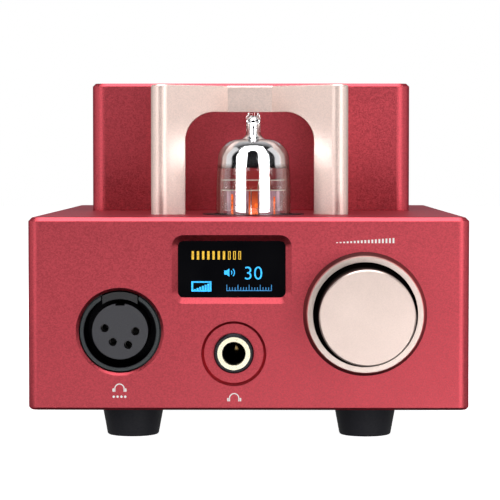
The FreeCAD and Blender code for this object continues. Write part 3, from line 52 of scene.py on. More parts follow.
class Tree:
    """One material's nodes, added by type and wired by socket name."""

    def __init__(self, name, metallic=0.0, roughness=0.5, **sockets):
        self.material = bpy.data.materials.new(name)
        self.material.use_nodes = True
        self.nodes = self.material.node_tree.nodes
        self.links = self.material.node_tree.links
        self.shader = self.nodes["Principled BSDF"]
        self.shader.inputs["Metallic"].default_value = metallic
        self.shader.inputs["Roughness"].default_value = roughness
        for socket, value in sockets.items():
            self.shader.inputs[socket.replace("_", " ")].default_value = value
        self.place = self.add("ShaderNodeTexCoord").outputs["Object"]

    def add(self, kind, settings=None, **inputs):
        node = self.nodes.new(kind)
        for key, value in (settings or {}).items():
            setattr(node, key, value)
        for key, value in inputs.items():
            self.feed(node.inputs[key.replace("_", " ")], value)
        return node

    def feed(self, socket, value):
        if isinstance(value, bpy.types.NodeSocket):
            self.links.new(value, socket)
        else:
            socket.default_value = value

    def math(self, operation, first, second=0.0, third=0.0):
        node = self.nodes.new("ShaderNodeMath")
        node.operation = operation
        for socket, value in zip(node.inputs, (first, second, third)):
            self.feed(socket, value)
        return node.outputs[0]

    def axis(self, letter, source=None):
        split = self.add("ShaderNodeSeparateXYZ", Vector=source or self.place)
        return split.outputs[letter]

    def noise(self, scale, detail=2.0, stretch=(1, 1, 1), roughness=0.5):
        place = self.place
        if stretch != (1, 1, 1):
            place = self.add("ShaderNodeMapping", Vector=place, Scale=stretch).outputs[0]
        return self.add("ShaderNodeTexNoise", Vector=place, Scale=scale, Detail=detail,
                        Roughness=roughness).outputs["Fac"]

    def span(self, value, low, high, to_low=0.0, to_high=1.0):
        node = self.add("ShaderNodeMapRange", Value=value)
        for key, number in (("From Min", low), ("From Max", high), ("To Min", to_low), ("To Max", to_high)):
            self.feed(node.inputs[key], number)
        return node.outputs[0]

    def blend(self, first, second, share):
        """Weighted sum of two numbers, with `share` for the first."""
        return self.math("MULTIPLY_ADD", first, share, self.math("MULTIPLY", second, 1 - share))

    def radius_about(self, centre):
        """Distance from an axis along Y through a centre."""
        across = self.math("SUBTRACT", self.axis("X"), centre.x)
        along = self.math("SUBTRACT", self.axis("Z"), centre.z)
        squares = self.math("MULTIPLY_ADD", across, across, self.math("MULTIPLY", along, along))
        return self.math("SQRT", squares)

    def mix(self, factor, first, second):
        """Colour mix; a mix node's colour sockets are inputs 6 and 7 and output 2."""
        node = self.add("ShaderNodeMix", {"data_type": "RGBA"})
        self.feed(node.inputs["Factor"], factor)
        for socket, value in ((node.inputs[6], first), (node.inputs[7], second)):
            self.feed(socket, (*value, 1.0) if isinstance(value, tuple) and len(value) == 3 else value)
        return node.outputs[2]

    def color(self, value):
        self.feed(self.shader.inputs["Base Color"], value)

    def rough(self, value):
        self.feed(self.shader.inputs["Roughness"], value)

    def relief(self, height, distance, strength=1.0):
        node = self.add("ShaderNodeBump", Height=height, Distance=distance, Strength=strength)
        self.links.new(node.outputs["Normal"], self.shader.inputs["Normal"])


def shade(color, factor):
    return tuple(min(1.0, channel * factor) for channel in color)


def finish_of(name, color, metallic, roughness, grain=2500.0, mottle=70.0, swing=0.10, rough_swing=0.06,
              depth=0.01 * MM, stretch=(1, 1, 1), **sockets):
    """A surface with fine grain over a slow mottle."""
    tree = Tree(name, metallic, roughness, **sockets)
    slow = tree.noise(mottle, detail=3.0)
    fine = tree.noise(grain, detail=2.0, stretch=stretch)
    both = tree.blend(fine, slow, 0.6)
    tree.color(tree.mix(tree.span(both, 0.35, 0.65), shade(color, 1 - swing), shade(color, 1 + swing)))
    tree.rough(tree.span(both, 0.35, 0.65, roughness - rough_swing, roughness + rough_swing))
    if depth:
        tree.relief(fine, depth)
    return tree.material


def metal(name, color, roughness, **options):
    return finish_of(name, color, 1.0, roughness, **options)


def plastic(name, color, roughness, **options):
    return finish_of(name, color, 0.0, roughness, **options)


RED = (0.50, 0.070, 0.089)
CHAMPAGNE = (0.79, 0.64, 0.58)
# Dark brown, painted as shade on the bezel's slope and on the knob's side
SHADE_BRONZE = (0.16, 0.095, 0.088)
# Soft edge of the painted shade on the knob and bezel, and the length over which the knob's side fades to
# painted black shade
SHADE_EDGE = 0.2 * MM
SHADE_FADE = 7 * MM


def beadblasted(name, color, roughness, sparkle, edge):
    """Anodised aluminium: blasted grain with small bright facets, tinted towards its edges."""
    tree = Tree(name, 1.0, roughness, Specular_Tint=(*edge, 1.0))
    facets = tree.add("ShaderNodeTexVoronoi", {"feature": "F1"}, Vector=tree.place, Scale=3000.0)
    tint = tree.axis("X", facets.outputs["Color"])
    slow = tree.noise(45.0, detail=3.0)
    fine = tree.noise(3800.0, detail=2.0)
    tree.color(tree.mix(tree.blend(tint, slow, 0.7), shade(color, 1 - sparkle), shade(color, 1 + sparkle)))
    tree.rough(tree.span(tint, 0.0, 1.0, roughness - 0.07, roughness + 0.07))
    tree.relief(tree.math("MULTIPLY_ADD", tint, 0.5, fine), 0.006 * MM)
    return tree.material


def turned_metal(name, color, roughness, centre, pitch, shade_fade_behind=None, bore_shade_within=None,
                 slope_shade_beyond=None):
    """Metal turned about an axis along Y: fine rings, with painted shade where asked: a side painted dark
    brown that fades to near black, a bore painted near black, or a slope painted dark brown.
    """
    tree = Tree(name, 1.0, roughness, Specular_IOR_Level=0.0)
    radius = tree.radius_about(centre)
    rings = tree.math("SINE", tree.math("MULTIPLY", radius, 2 * math.pi / pitch))
    fine = tree.noise(3500.0, detail=2.0)
    slow = tree.noise(60.0, detail=3.0)
    both = tree.blend(fine, slow, 0.6)
    coat = tree.mix(both, shade(color, 0.82), shade(color, 1.18))
    dark = None
    # Painted shade: behind the knob's rim the side is painted dark brown, fading to near black further back,
    # standing for the shade in the gap round the knob; its metal fades out with it
    if shade_fade_behind is not None:
        dark = tree.span(tree.axis("Y"), shade_fade_behind, shade_fade_behind + SHADE_EDGE)
        side = tree.mix(tree.span(tree.axis("Y"), shade_fade_behind, shade_fade_behind + SHADE_FADE),
                        shade(SHADE_BRONZE, 0.7), (0.008, 0.006, 0.005))
    # Painted shade: within the bezel's bore the colour is near black and non-metallic, standing for the
    # shade of the gap round the knob
    if bore_shade_within is not None:
        dark = tree.span(radius, bore_shade_within, bore_shade_within - SHADE_EDGE / 2)
        side = tree.mix(both, (0.004, 0.003, 0.003), (0.010, 0.007, 0.006))
    if dark is not None:
        coat = tree.mix(dark, coat, side)
        tree.feed(tree.shader.inputs["Metallic"], tree.span(dark, 0.0, 1.0, 1.0, 0.0))
    # Painted shade: beyond the slope radius the bezel's champagne is painted dark brown, a shaded copy of
    # its own finish
    if slope_shade_beyond is not None:
        slope_shade = tree.mix(both, shade(SHADE_BRONZE, 0.8), shade(SHADE_BRONZE, 1.2))
        coat = tree.mix(tree.span(radius, slope_shade_beyond, slope_shade_beyond + SHADE_EDGE), coat, slope_shade)
    tree.color(coat)
    tree.rough(tree.span(fine, 0.3, 0.7, roughness - 0.06, roughness + 0.06))
    tree.relief(tree.math("MULTIPLY_ADD", rings, 0.35, fine), 0.004 * MM)
    return tree.material


def circuit_board(name):
    """Solder mask with lighter copper tracks under it and a few drilled pads."""
    tree = Tree(name, 0.0, 0.35, Coat_Weight=0.3, Coat_Roughness=0.2)
    tracks = tree.add("ShaderNodeTexBrick", Vector=tree.place, Scale=260.0, Mortar_Size=0.06,
                      Color1=(0, 0, 0, 1), Color2=(0, 0, 0, 1), Mortar=(1, 1, 1, 1)).outputs["Fac"]
    pads = tree.add("ShaderNodeTexVoronoi", {"feature": "F1"}, Vector=tree.place, Scale=240.0)
    dots = tree.span(pads.outputs["Distance"], 0.10, 0.14, 1.0, 0.0)
    mask = tree.mix(tree.noise(900.0), (0.012, 0.085, 0.04), (0.02, 0.12, 0.055))
    traced = tree.mix(tracks, mask, (0.05, 0.24, 0.11))
    tree.color(tree.mix(dots, traced, (0.55, 0.52, 0.42)))
    tree.rough(tree.span(tree.noise(700.0), 0.3, 0.7, 0.28, 0.45))
    tree.relief(tree.math("ADD", tracks, dots), 0.03 * MM)
    return tree.material


TAPE_TURNS = 64


def wound_tape(name, node):
    """Tape wound through a ring: overlapping turns that fan out from its centre."""
    tree = Tree(name, 0.0, 0.4, Coat_Weight=0.35, Coat_Roughness=0.15)
    middle = centre_of(node)
    across = tree.math("SUBTRACT", tree.axis("X"), middle.x)
    along = tree.math("SUBTRACT", tree.axis("Y"), middle.y)
    turn = tree.math("MULTIPLY", tree.math("ARCTAN2", along, across), TAPE_TURNS / (2 * math.pi))
    lap = tree.math("FRACT", tree.math("ADD", turn, tree.math("MULTIPLY", tree.noise(70.0), 0.35)))
    tree.color(tree.mix(lap, (0.42, 0.27, 0.035), (0.72, 0.52, 0.10)))
    tree.rough(tree.span(lap, 0.0, 1.0, 0.28, 0.5))
    tree.relief(lap, 0.15 * MM)
    return tree.material


STRIPE_SHIFT = 4.5 * MM
STRIPE_SPACING = 9.0 * MM
STRIPE_HALF = 1.0 * MM
STRIPE_SOFT = 0.1 * MM


def can_sleeve(name):
    """Shrink sleeve of a capacitor: dark blue-black with a pale polarity stripe down one side."""
    tree = Tree(name, 0.0, 0.3, Coat_Weight=0.5, Coat_Roughness=0.08)
    band = tree.math("PINGPONG", tree.math("ADD", tree.axis("Y"), STRIPE_SHIFT), STRIPE_SPACING)
    stripe = tree.span(band, STRIPE_HALF - STRIPE_SOFT, STRIPE_HALF + STRIPE_SOFT, 1.0, 0.0)
    body = tree.mix(tree.noise(800.0), (0.012, 0.016, 0.035), (0.02, 0.026, 0.055))
    tree.color(tree.mix(stripe, body, (0.45, 0.46, 0.48)))
    tree.rough(tree.span(tree.noise(500.0), 0.3, 0.7, 0.22, 0.38))
    tree.relief(tree.noise(1500.0), 0.01 * MM)
    return tree.material


def mica(name):
    """Pale mica that lets a little light through, with flakes in colour and gloss."""
    tree = Tree(name, 0.0, 0.45, Transmission_Weight=0.25)
    flakes = tree.noise(900.0, detail=4.0)
    tree.color(tree.mix(tree.span(flakes, 0.3, 0.7), (0.60, 0.48, 0.38), (0.92, 0.84, 0.74)))
    tree.rough(tree.span(flakes, 0.3, 0.7, 0.3, 0.6))
    tree.relief(flakes, 0.03 * MM)
    return tree.material


def clear_glass(name, color, index):
    """Blown glass with a faint unevenness."""
    tree = Tree(name, 0.0, 0.0, Transmission_Weight=1.0, IOR=index)
    tree.color(tree.mix(tree.noise(90.0, detail=1.0), shade(color, 0.97), color))
    tree.relief(tree.noise(160.0, detail=1.0), 0.02 * MM, 0.5)
    tree.rough(tree.span(tree.noise(2200.0), 0.3, 0.7, 0.0, 0.02))
    return tree.material


def silvered(name, low, high):
    """Getter film: a mirror that thins out to nothing between two heights."""
    tree = Tree(name, 1.0, 0.05)
    ragged = tree.math("MULTIPLY_ADD", tree.noise(350.0, detail=3.0), 0.8 * MM, tree.axis("Z"))
    cover = tree.span(ragged, low, high)
    tree.color(tree.mix(cover, (0.20, 0.12, 0.10), (0.93, 0.93, 0.95)))
    tree.rough(tree.span(tree.noise(500.0), 0.3, 0.7, 0.03, 0.09))
    tree.feed(tree.shader.inputs["Alpha"], tree.math("MINIMUM", tree.math("MULTIPLY", cover, 4.0), 1.0))
    return tree.material


def glowing(name, color, strength, dim=0.55):
    """Glowing surface, unevenly bright."""
    tree = Tree(name, 0.0, 0.6)
    uneven = tree.span(tree.noise(1800.0, detail=3.0), 0.3, 0.7)
    tree.color(tree.mix(uneven, shade(color, dim), color))
    tree.feed(tree.shader.inputs["Emission Color"], tree.mix(uneven, shade(color, dim), color))
    tree.shader.inputs["Emission Strength"].default_value = strength
    tree.rough(tree.span(uneven, 0, 1, 0.5, 0.7))
    return tree.material


def socket_ring(name, centre, bore):
    """Black-plated ring, painted near black within its bore as shade in the deep gap."""
    tree = Tree(name, 1.0, 0.32)
    rim = tree.span(tree.radius_about(centre), bore + 0.1 * MM, bore + 0.3 * MM)
    grain = tree.noise(2600.0)
    plated = tree.mix(grain, (0.045, 0.050, 0.052), (0.075, 0.082, 0.085))
    # Painted shade: near black inside the bore
    tree.color(tree.mix(rim, (0.006, 0.006, 0.007), plated))
    tree.rough(tree.span(grain, 0.3, 0.7, 0.26, 0.4))
    tree.relief(grain, 0.01 * MM)
    return tree.material


def phono_colors(name):
    """Centre insulators: orange on the digital socket, white above and red below on the line sockets."""
    tree = Tree(name, 0.0, 0.4, Coat_Weight=0.3, Coat_Roughness=0.15)
    low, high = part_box("phono_liners")
    right = tree.math("GREATER_THAN", tree.axis("X"), (low.x + high.x) / 2)
    above = tree.math("GREATER_THAN", tree.axis("Z"), (low.z + high.z) / 2)
    line = tree.mix(above, (0.55, 0.02, 0.02), (0.80, 0.80, 0.78))
    base = tree.mix(right, (0.75, 0.20, 0.02), line)
    tree.color(tree.mix(tree.span(tree.noise(1500.0), 0.3, 0.7, 0.0, 0.18), base, (0.1, 0.1, 0.1)))
    tree.rough(tree.span(tree.noise(900.0), 0.3, 0.7, 0.3, 0.5))
    tree.relief(tree.noise(2500.0), 0.01 * MM)
    return tree.material


def window_glass(name):
    """Smoked display window: gloss black with a soft haze of cleaning marks."""
    tree = Tree(name, 0.0, 0.03, Specular_IOR_Level=0.2)
    haze = tree.noise(120.0, detail=4.0)
    tree.color(tree.mix(haze, (0.002, 0.002, 0.003), (0.005, 0.005, 0.006)))
    tree.rough(tree.span(haze, 0.3, 0.7, 0.0, 0.05))
    return tree.material


KNOB = centre_of("knob")
JACK = centre_of("jack_bush")
BALANCED = centre_of("balanced_shell")
KNOB_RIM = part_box("knob")[0].y + 0.2 * MM
BEZEL_BORE = 14.3 * MM
BEZEL_SLOPE = 15.9 * MM
BALANCED_BORE = 9.8 * MM

RED_METAL = beadblasted("red_anodised", RED, 0.42, 0.24, (0.46, 0.40, 0.46))
PALE_METAL = beadblasted("champagne_anodised", CHAMPAGNE, 0.45, 0.10, (0.85, 0.80, 0.80))
LOOKS = {
    "chassis_shell": RED_METAL,
    "transformer_cover": RED_METAL,
    "tube_guard": PALE_METAL,
    # The knob face is painted 10% darker and the bezel 12% lighter than the champagne: shaded and lit copies
    # of one finish, the bezel's lift standing for light the knob keeps off it
    "knob": turned_metal("knob_face", shade(CHAMPAGNE, 0.90), 0.36, KNOB, 0.16 * MM,
                         shade_fade_behind=KNOB_RIM),
    "knob_bezel": turned_metal("knob_bezel", shade(CHAMPAGNE, 1.12), 0.42, KNOB, 0.2 * MM,
                               bore_shade_within=BEZEL_BORE, slope_shade_beyond=BEZEL_SLOPE),
    "rear_panel": plastic("black_powder_coat", (0.018, 0.018, 0.02), 0.55, grain=1800.0, depth=0.04 * MM),
    "bottom_plate": metal("zinc_plate", (0.55, 0.56, 0.55), 0.38, grain=900.0, stretch=(1, 12, 1)),
    "case_screws": metal("black_zinc_screws", (0.05, 0.05, 0.055), 0.35),
    "board_screws": metal("nickel_screws", (0.70, 0.69, 0.66), 0.3),
    "board_posts": metal("nickel_posts", (0.68, 0.66, 0.62), 0.32, stretch=(1, 1, 8)),
    "foot_screws": metal("black_foot_screws", (0.06, 0.06, 0.065), 0.4),
    "feet": plastic("foot_rubber", (0.005, 0.005, 0.010), 0.7, grain=1600.0, depth=0.03 * MM),
    "display_window": window_glass("smoked_window"),
    "display_panel": plastic("display_backing", (0.01, 0.01, 0.012), 0.3),
    "display_board": circuit_board("display_mask"),
    "main_board": circuit_board("main_mask"),
    "tube_board": circuit_board("tube_mask"),
    "encoder_body": metal("encoder_case", (0.62, 0.62, 0.60), 0.35),
    "encoder_nut": metal("encoder_nut_nickel", (0.66, 0.65, 0.62), 0.28),
    "encoder_plunger": plastic("encoder_plunger_nylon", (0.55, 0.54, 0.5), 0.45),
    "encoder_shaft": turned_metal("encoder_shaft_steel", (0.62, 0.62, 0.62), 0.25, KNOB, 0.3 * MM),
    "knob_grub_screw": metal("grub_black_oxide", (0.05, 0.05, 0.05), 0.4),
    "balanced_shell": socket_ring("socket_ring_black", BALANCED, BALANCED_BORE),
    "balanced_insert": plastic("socket_insert", (0.040, 0.040, 0.047), 0.45, grain=2400.0, depth=0.03 * MM),
    # The tin contacts are painted near black, standing for the shade in their deep holes
    "balanced_contacts": metal("contact_tin_painted_shade", (0.07, 0.068, 0.065), 0.3),
    # The latch is painted near black, standing for the shade at the top of the socket
    "socket_latch": plastic("latch_nylon_painted_shade", (0.012, 0.012, 0.014), 0.35),
    "jack_bush": metal("jack_ring_gilt", (0.96, 0.88, 0.66), 0.30, grain=1800.0, swing=0.04,
                       depth=0.002 * MM),
    "jack_nut": turned_metal("jack_washer_black", (0.035, 0.035, 0.04), 0.3, JACK, 0.2 * MM),
    "jack_body": plastic("jack_nylon", (0.015, 0.015, 0.016), 0.5),
    "jack_contacts": metal("jack_spring_gilt", (0.62, 0.47, 0.28), 0.28),
    "tube_glass": clear_glass("bulb_glass", (1.0, 0.985, 0.98), 1.85),
    "tube_button": clear_glass("stem_glass", (0.97, 0.96, 0.95), 1.5),
    "tube_pins": metal("tube_pin_nickel", (0.66, 0.64, 0.60), 0.2),
    "tube_spacers": mica("tube_mica"),
    "tube_anodes": metal("anode_grey", (0.58, 0.36, 0.44), 0.38, swing=0.3, stretch=(1, 1, 0.04)),
    "tube_cathodes": metal("cathode_sleeve", (0.55, 0.5, 0.45), 0.3),
    "tube_grid_rods": metal("grid_rod_copper", (0.72, 0.45, 0.30), 0.25, stretch=(1, 1, 8)),
    "tube_getter": metal("getter_wire", (0.5, 0.48, 0.46), 0.25),
    "tube_holder": plastic("holder_ceramic", (0.72, 0.70, 0.64), 0.5, grain=1500.0, depth=0.02 * MM),
    "holder_contacts": metal("holder_clip_gilt", (0.76, 0.60, 0.34), 0.3),
    "roof_rim": metal("rim_black", (0.05, 0.045, 0.05), 0.3, grain=2600.0),
    "heat_sinks": metal("sink_black", (0.04, 0.04, 0.042), 0.45, stretch=(1, 6, 1)),
    "output_transistors": plastic("device_epoxy", (0.02, 0.02, 0.022), 0.5, grain=1800.0),
    "reservoir_capacitors": can_sleeve("capacitor_sleeve"),
    "relays": plastic("relay_case", (0.09, 0.10, 0.12), 0.35, Coat_Weight=0.3),
    "signal_chips": plastic("chip_epoxy", (0.018, 0.018, 0.02), 0.45, grain=2000.0),
    "toroid_winding": wound_tape("winding_tape", "toroid_winding"),
    "toroid_pads": plastic("pad_rubber", (0.02, 0.02, 0.02), 0.7, grain=1300.0, depth=0.04 * MM),
    "toroid_dish": metal("dish_steel", (0.5, 0.5, 0.5), 0.35, stretch=(1, 10, 1)),
    "toroid_bolt": metal("bolt_zinc", (0.58, 0.56, 0.48), 0.3),
    "power_inlet": plastic("inlet_plastic", (0.016, 0.016, 0.018), 0.42, grain=2200.0, depth=0.015 * MM),
    "inlet_pins": metal("inlet_blade_nickel", (0.70, 0.68, 0.62), 0.22),
    "fuse_drawer": plastic("drawer_plastic", (0.018, 0.018, 0.02), 0.38, grain=2200.0),
    "power_switch_body": plastic("switch_frame", (0.015, 0.015, 0.017), 0.4, grain=2200.0),
    "power_rocker": plastic("rocker_gloss", (0.016, 0.016, 0.018), 0.16, grain=900.0, depth=0.003 * MM),
    "usb_socket": metal("usb_shell", (0.66, 0.66, 0.64), 0.25),
    "optical_socket": plastic("optical_body", (0.02, 0.02, 0.022), 0.45, grain=2200.0),
    "optical_shutter": plastic("shutter_plastic", (0.03, 0.03, 0.032), 0.4, grain=2200.0),
    "phono_barrels": metal("phono_gilt", (0.86, 0.68, 0.36), 0.2),
    "phono_liners": phono_colors("phono_insulators"),
}
for node, look in LOOKS.items():
    mesh = NODES[node].data
    mesh.materials.clear()
    mesh.materials.append(look)


# Pieces made in mesh code


def piece(name, mesh_maker, body, material, smooth=False):
    """A new mesh piece from a bmesh, riding on a CAD body."""
    shape = bmesh.new()
    mesh_maker(shape)
    bmesh.ops.recalc_face_normals(shape, faces=shape.faces)
    mesh = bpy.data.meshes.new(name)
    shape.to_mesh(mesh)
    shape.free()
    for polygon in mesh.polygons:
        polygon.use_smooth = smooth
    item = bpy.data.objects.new(name, mesh)
    SCENE.collection.objects.link(item)
    mesh.materials.append(material)
    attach(item, body)
    return item


def prism(shape, outline, front, back):
    """A flat plate with an (x, z) outline, from y = front to y = back."""
    near = [shape.verts.new((x, front, z)) for x, z in outline]
    far = [shape.verts.new((x, back, z)) for x, z in outline]
    shape.faces.new(near)
    shape.faces.new(list(reversed(far)))
    for index in range(len(outline)):
        following = (index + 1) % len(outline)
        shape.faces.new((near[index], far[index], far[following], near[following]))


def bar(left, bottom, width, height):
    return [(left, bottom), (left + width, bottom), (left + width, bottom + height), (left, bottom + height)]


def arc(x, z, radius, start, end, steps=24):
    angles = [math.radians(start + (end - start) * step / steps) for step in range(steps + 1)]
    return [(x + radius * math.cos(a), z + radius * math.sin(a)) for a in angles]


def ring_band(x, z, outer, inner, start, end, steps=24):
    return arc(x, z, outer, start, end, steps) + list(reversed(arc(x, z, inner, start, end, steps)))


def plates(outlines, front, thickness):
    def make(shape):
        for outline in outlines:
            prism(shape, outline, front, front + thickness)
    return make


def circle(radius, steps):
    """Points round a circle about the origin."""
    angles = [2 * math.pi * step / steps for step in range(steps)]
    return [(radius * math.cos(angle), radius * math.sin(angle)) for angle in angles]


def skin(shape, loops):
    """Faces between each loop of vertices and the next."""
    for low, high in zip(loops, loops[1:]):
        for index in range(len(low)):
            following = (index + 1) % len(low)
            shape.faces.new((low[index], low[following], high[following], high[index]))


def lathe(profile, x, y, steps=96):
    """A surface turned about an upright axis at (x, y), from (radius, height) points."""
    def make(shape):
        loops = []
        for radius, height in profile:
            loops.append([shape.verts.new((x + across, y + along, height))
                          for across, along in circle(radius, steps)])
        skin(shape, loops)
    return make


def wire(path, radius, sides=6):
    """A round wire along a path of points."""
    def make(shape):
        loops = []
        for index, point in enumerate(path):
            ahead = Vector(path[min(index + 1, len(path) - 1)]) - Vector(path[max(index - 1, 0)])
            turn = ahead.to_track_quat("Z", "Y")
            loops.append([shape.verts.new(Vector(point) + turn @ Vector((across, along, 0)))
                          for across, along in circle(radius, sides)])
        skin(shape, loops)
        shape.faces.new(list(reversed(loops[0])))
        shape.faces.new(loops[-1])
    return make


# Display picture: a level meter, a loudspeaker sign, numerals, a status box and a scale, all invented

YELLOW_LIGHT = glowing("display_yellow", (0.70, 0.42, 0.03), 0.85)
CYAN_LIGHT = glowing("display_cyan", (0.03, 0.48, 1.0), 0.95)
DIM_CYAN_LIGHT = glowing("display_dim_cyan", (0.03, 0.22, 0.5), 0.8)
GRAPHIC_LIFT = 0.02 * MM
window_low, window_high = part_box("display_window")
LEFT = window_low.x
TOP = window_high.z
DISPLAY_FRONT = window_low.y - GRAPHIC_LIFT


def display_bars(spots):
    """Outlines from (left, down, width, height) in millimetres from the window's upper left corner."""
    return [bar(LEFT + x * MM, TOP - (down + height) * MM, width * MM, height * MM)
            for x, down, width, height in spots]


def hollow_box(x, down, width, height, line, post):
    """The level lines and upright posts of a box, as display bars."""
    inside = height - 2 * line
    return [(x, down, width, line), (x, down + height - line, width, line),
            (x, down + line, post, inside), (x + width - post, down + line, post, inside)]


def display_piece(name, outlines, material):
    return piece(name, plates(outlines, DISPLAY_FRONT, GRAPHIC_LIFT), "case", material)


# Display measures up to the numerals are in millimetres

METER_CELLS = 10
METER_FILLED = 7
METER_LEFT = 3.8
METER_DOWN = 2.8
CELL_PITCH = 1.42
CELL_HEIGHT = 2.3
FILLED_WIDTH = 0.62
HOLLOW_WIDTH = 0.7
HOLLOW_LINE = 0.2
meter = []
for index in range(METER_CELLS):
    x = METER_LEFT + index * CELL_PITCH
    if index < METER_FILLED:
        meter.append((x, METER_DOWN, FILLED_WIDTH, CELL_HEIGHT))
    else:
        meter += hollow_box(x, METER_DOWN, HOLLOW_WIDTH, CELL_HEIGHT, HOLLOW_LINE, HOLLOW_LINE)
display_piece("display_meter", display_bars(meter), YELLOW_LIGHT)

MAGNET_LEFT = 12.7
MAGNET_WIDTH = 0.6
MAGNET_HALF = 0.55
SPEAKER_DOWN = 8.65
CONE_WIDTH = 0.8
CONE_HALF = 1.1
WAVE_RADII = (0.8, 1.5)
WAVE_LINE = 0.22
WAVE_ANGLE = 45
speaker = display_bars([(MAGNET_LEFT, SPEAKER_DOWN - MAGNET_HALF, MAGNET_WIDTH, 2 * MAGNET_HALF)])
cone_left = LEFT + (MAGNET_LEFT + MAGNET_WIDTH) * MM
cone_right = cone_left + CONE_WIDTH * MM
cone_middle = TOP - SPEAKER_DOWN * MM
speaker.append([(cone_left, cone_middle - MAGNET_HALF * MM), (cone_right, cone_middle - CONE_HALF * MM),
                (cone_right, cone_middle + CONE_HALF * MM), (cone_left, cone_middle + MAGNET_HALF * MM)])
for radius in WAVE_RADII:
    speaker.append(ring_band(cone_right, cone_middle, radius * MM, (radius - WAVE_LINE) * MM,
                             -WAVE_ANGLE, WAVE_ANGLE))
display_piece("display_speaker", speaker, CYAN_LIGHT)

STATUS_LEFT = 3.7
STATUS_DOWN = 11.05
STATUS_WIDTH = 5.5
STATUS_HEIGHT = 2.8
STATUS_LINE = 0.4
STATUS_POST = 0.5
STATUS_FLOOR = STATUS_DOWN + STATUS_HEIGHT - STATUS_LINE
STATUS_STEPS = 6
STEP_LEFT = 4.4
STEP_PITCH = 0.73
STEP_WIDTH = 0.55
STEP_LOW = 0.25
STEP_RISE = 0.3
status = hollow_box(STATUS_LEFT, STATUS_DOWN, STATUS_WIDTH, STATUS_HEIGHT, STATUS_LINE, STATUS_POST)
for index in range(STATUS_STEPS):
    tall = STEP_LOW + index * STEP_RISE
    status.append((STEP_LEFT + index * STEP_PITCH, STATUS_FLOOR - tall, STEP_WIDTH, tall))
display_piece("display_status", display_bars(status), CYAN_LIGHT)

SCALE_LEFT = 13.3
SCALE_DOWN = 13.5
SCALE_WIDTH = 12.4
SCALE_LINE = 0.2
SCALE_TICKS = 16
LONG_TICK_EVERY = 4
LONG_TICK = 1.5
SHORT_TICK = 0.8
scale_marks = [(SCALE_LEFT, SCALE_DOWN, SCALE_WIDTH, SCALE_LINE)]
for index in range(SCALE_TICKS + 1):
    x = SCALE_LEFT + index * (SCALE_WIDTH - SCALE_LINE) / SCALE_TICKS
    tall = LONG_TICK if index % LONG_TICK_EVERY == 0 else SHORT_TICK
    scale_marks.append((x, SCALE_DOWN - tall, SCALE_LINE, tall))
display_piece("display_scale", display_bars(scale_marks), DIM_CYAN_LIGHT)

FONT_DIGIT_HEIGHT = 0.73
FONT_THINNING = 0.010
FONT_SPACING = 1.05


def numerals(name, text, left, bottom, height, material):
    """Upright digits of a given height, in Blender's own font."""
    curve = bpy.data.curves.new(name, "FONT")
    curve.body = text
    curve.size = height / FONT_DIGIT_HEIGHT
    curve.offset = -FONT_THINNING * height
    curve.extrude = GRAPHIC_LIFT / 2
    curve.space_character = FONT_SPACING
    item = bpy.data.objects.new(name, curve)
    item.rotation_euler = (math.radians(90), 0, 0)
    item.location = (left, DISPLAY_FRONT + GRAPHIC_LIFT / 2, bottom)
    SCENE.collection.objects.link(item)
    curve.materials.append(material)
    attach(item, "case")
    return item


numerals("display_numerals", "30", LEFT + 18.0 * MM, TOP - 10.55 * MM, 3.75 * MM, CYAN_LIGHT)


# Printed marks on the front: a volume ramp, two headphone signs and a row of dots

PRINT = plastic("printed_white", (0.86, 0.84, 0.82), 0.5, grain=4000.0, swing=0.06)
PRINT_THICK = 0.02 * MM
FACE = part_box("chassis_shell")[0].y


def printed(name, outlines):
    return piece(name, plates(outlines, FACE - PRINT_THICK, PRINT_THICK), "case", PRINT)


RAMP_STEPS = 17
RAMP_LEFT = KNOB.x - 7.9 * MM
RAMP_PITCH = 0.96 * MM
RAMP_FOOT = 54.35 * MM
RAMP_BAR = 0.5 * MM
RAMP_LOW = 0.25 * MM
RAMP_RISE = 1.15 * MM
ramp = []
for index in range(RAMP_STEPS):
    tall = RAMP_LOW + RAMP_RISE * index / (RAMP_STEPS - 1)
    ramp.append(bar(RAMP_LEFT + index * RAMP_PITCH, RAMP_FOOT, RAMP_BAR, tall))
printed("volume_ramp", ramp)

SIGN_SHIFT = 0.1 * MM
SIGN_SIZE = 1.42 * MM
SIGN_STROKE = 0.3 * MM
SIGN_LEG = 0.85 * MM
CUP_GAP = 0.09 * MM
CUP_WIDTH = 0.42 * MM
CUP_HEIGHT = 0.95 * MM
LEFT_SIGN_HEIGHT = 14.5 * MM
MIDDLE_SIGN_HEIGHT = 11.9 * MM
DOTS = 4
DOT_HEIGHT = 12.3 * MM
DOT_PITCH = 1.05 * MM
DOT_RADIUS = 0.34 * MM
DOT_SIDES = 16


def headphones(x, z, size):
    """A thin headband with upright legs and an ear cup outside each leg."""
    band = arc(x, z, size, 0, 180) + [(x - size, z - SIGN_LEG), (x - size + SIGN_STROKE, z - SIGN_LEG)]
    band += list(reversed(arc(x, z, size - SIGN_STROKE, 0, 180)))
    marks = [band + [(x + size - SIGN_STROKE, z - SIGN_LEG), (x + size, z - SIGN_LEG)]]
    for side in (-1, 1):
        inner = x + side * (size + CUP_GAP)
        outer = inner + side * CUP_WIDTH
        nip = CUP_WIDTH / 3
        low = z - SIGN_LEG
        high = low + CUP_HEIGHT
        marks.append([(inner, low), (outer - side * nip, low), (outer, low + nip),
                      (outer, high - nip), (outer - side * nip, high), (inner, high)])
    return marks


printed("headphone_sign_left", headphones(BALANCED.x - SIGN_SHIFT, LEFT_SIGN_HEIGHT, SIGN_SIZE))
printed("headphone_sign_middle", headphones(JACK.x + SIGN_SHIFT, MIDDLE_SIGN_HEIGHT, SIGN_SIZE))
dots = []
for index in range(DOTS):
    x = BALANCED.x - SIGN_SHIFT + (index - (DOTS - 1) / 2) * DOT_PITCH
    dots.append(arc(x, DOT_HEIGHT, DOT_RADIUS, 0, 360, DOT_SIDES)[:-1])
printed("balanced_sign", dots)


# Tube: silver film, grid wires and heater glow

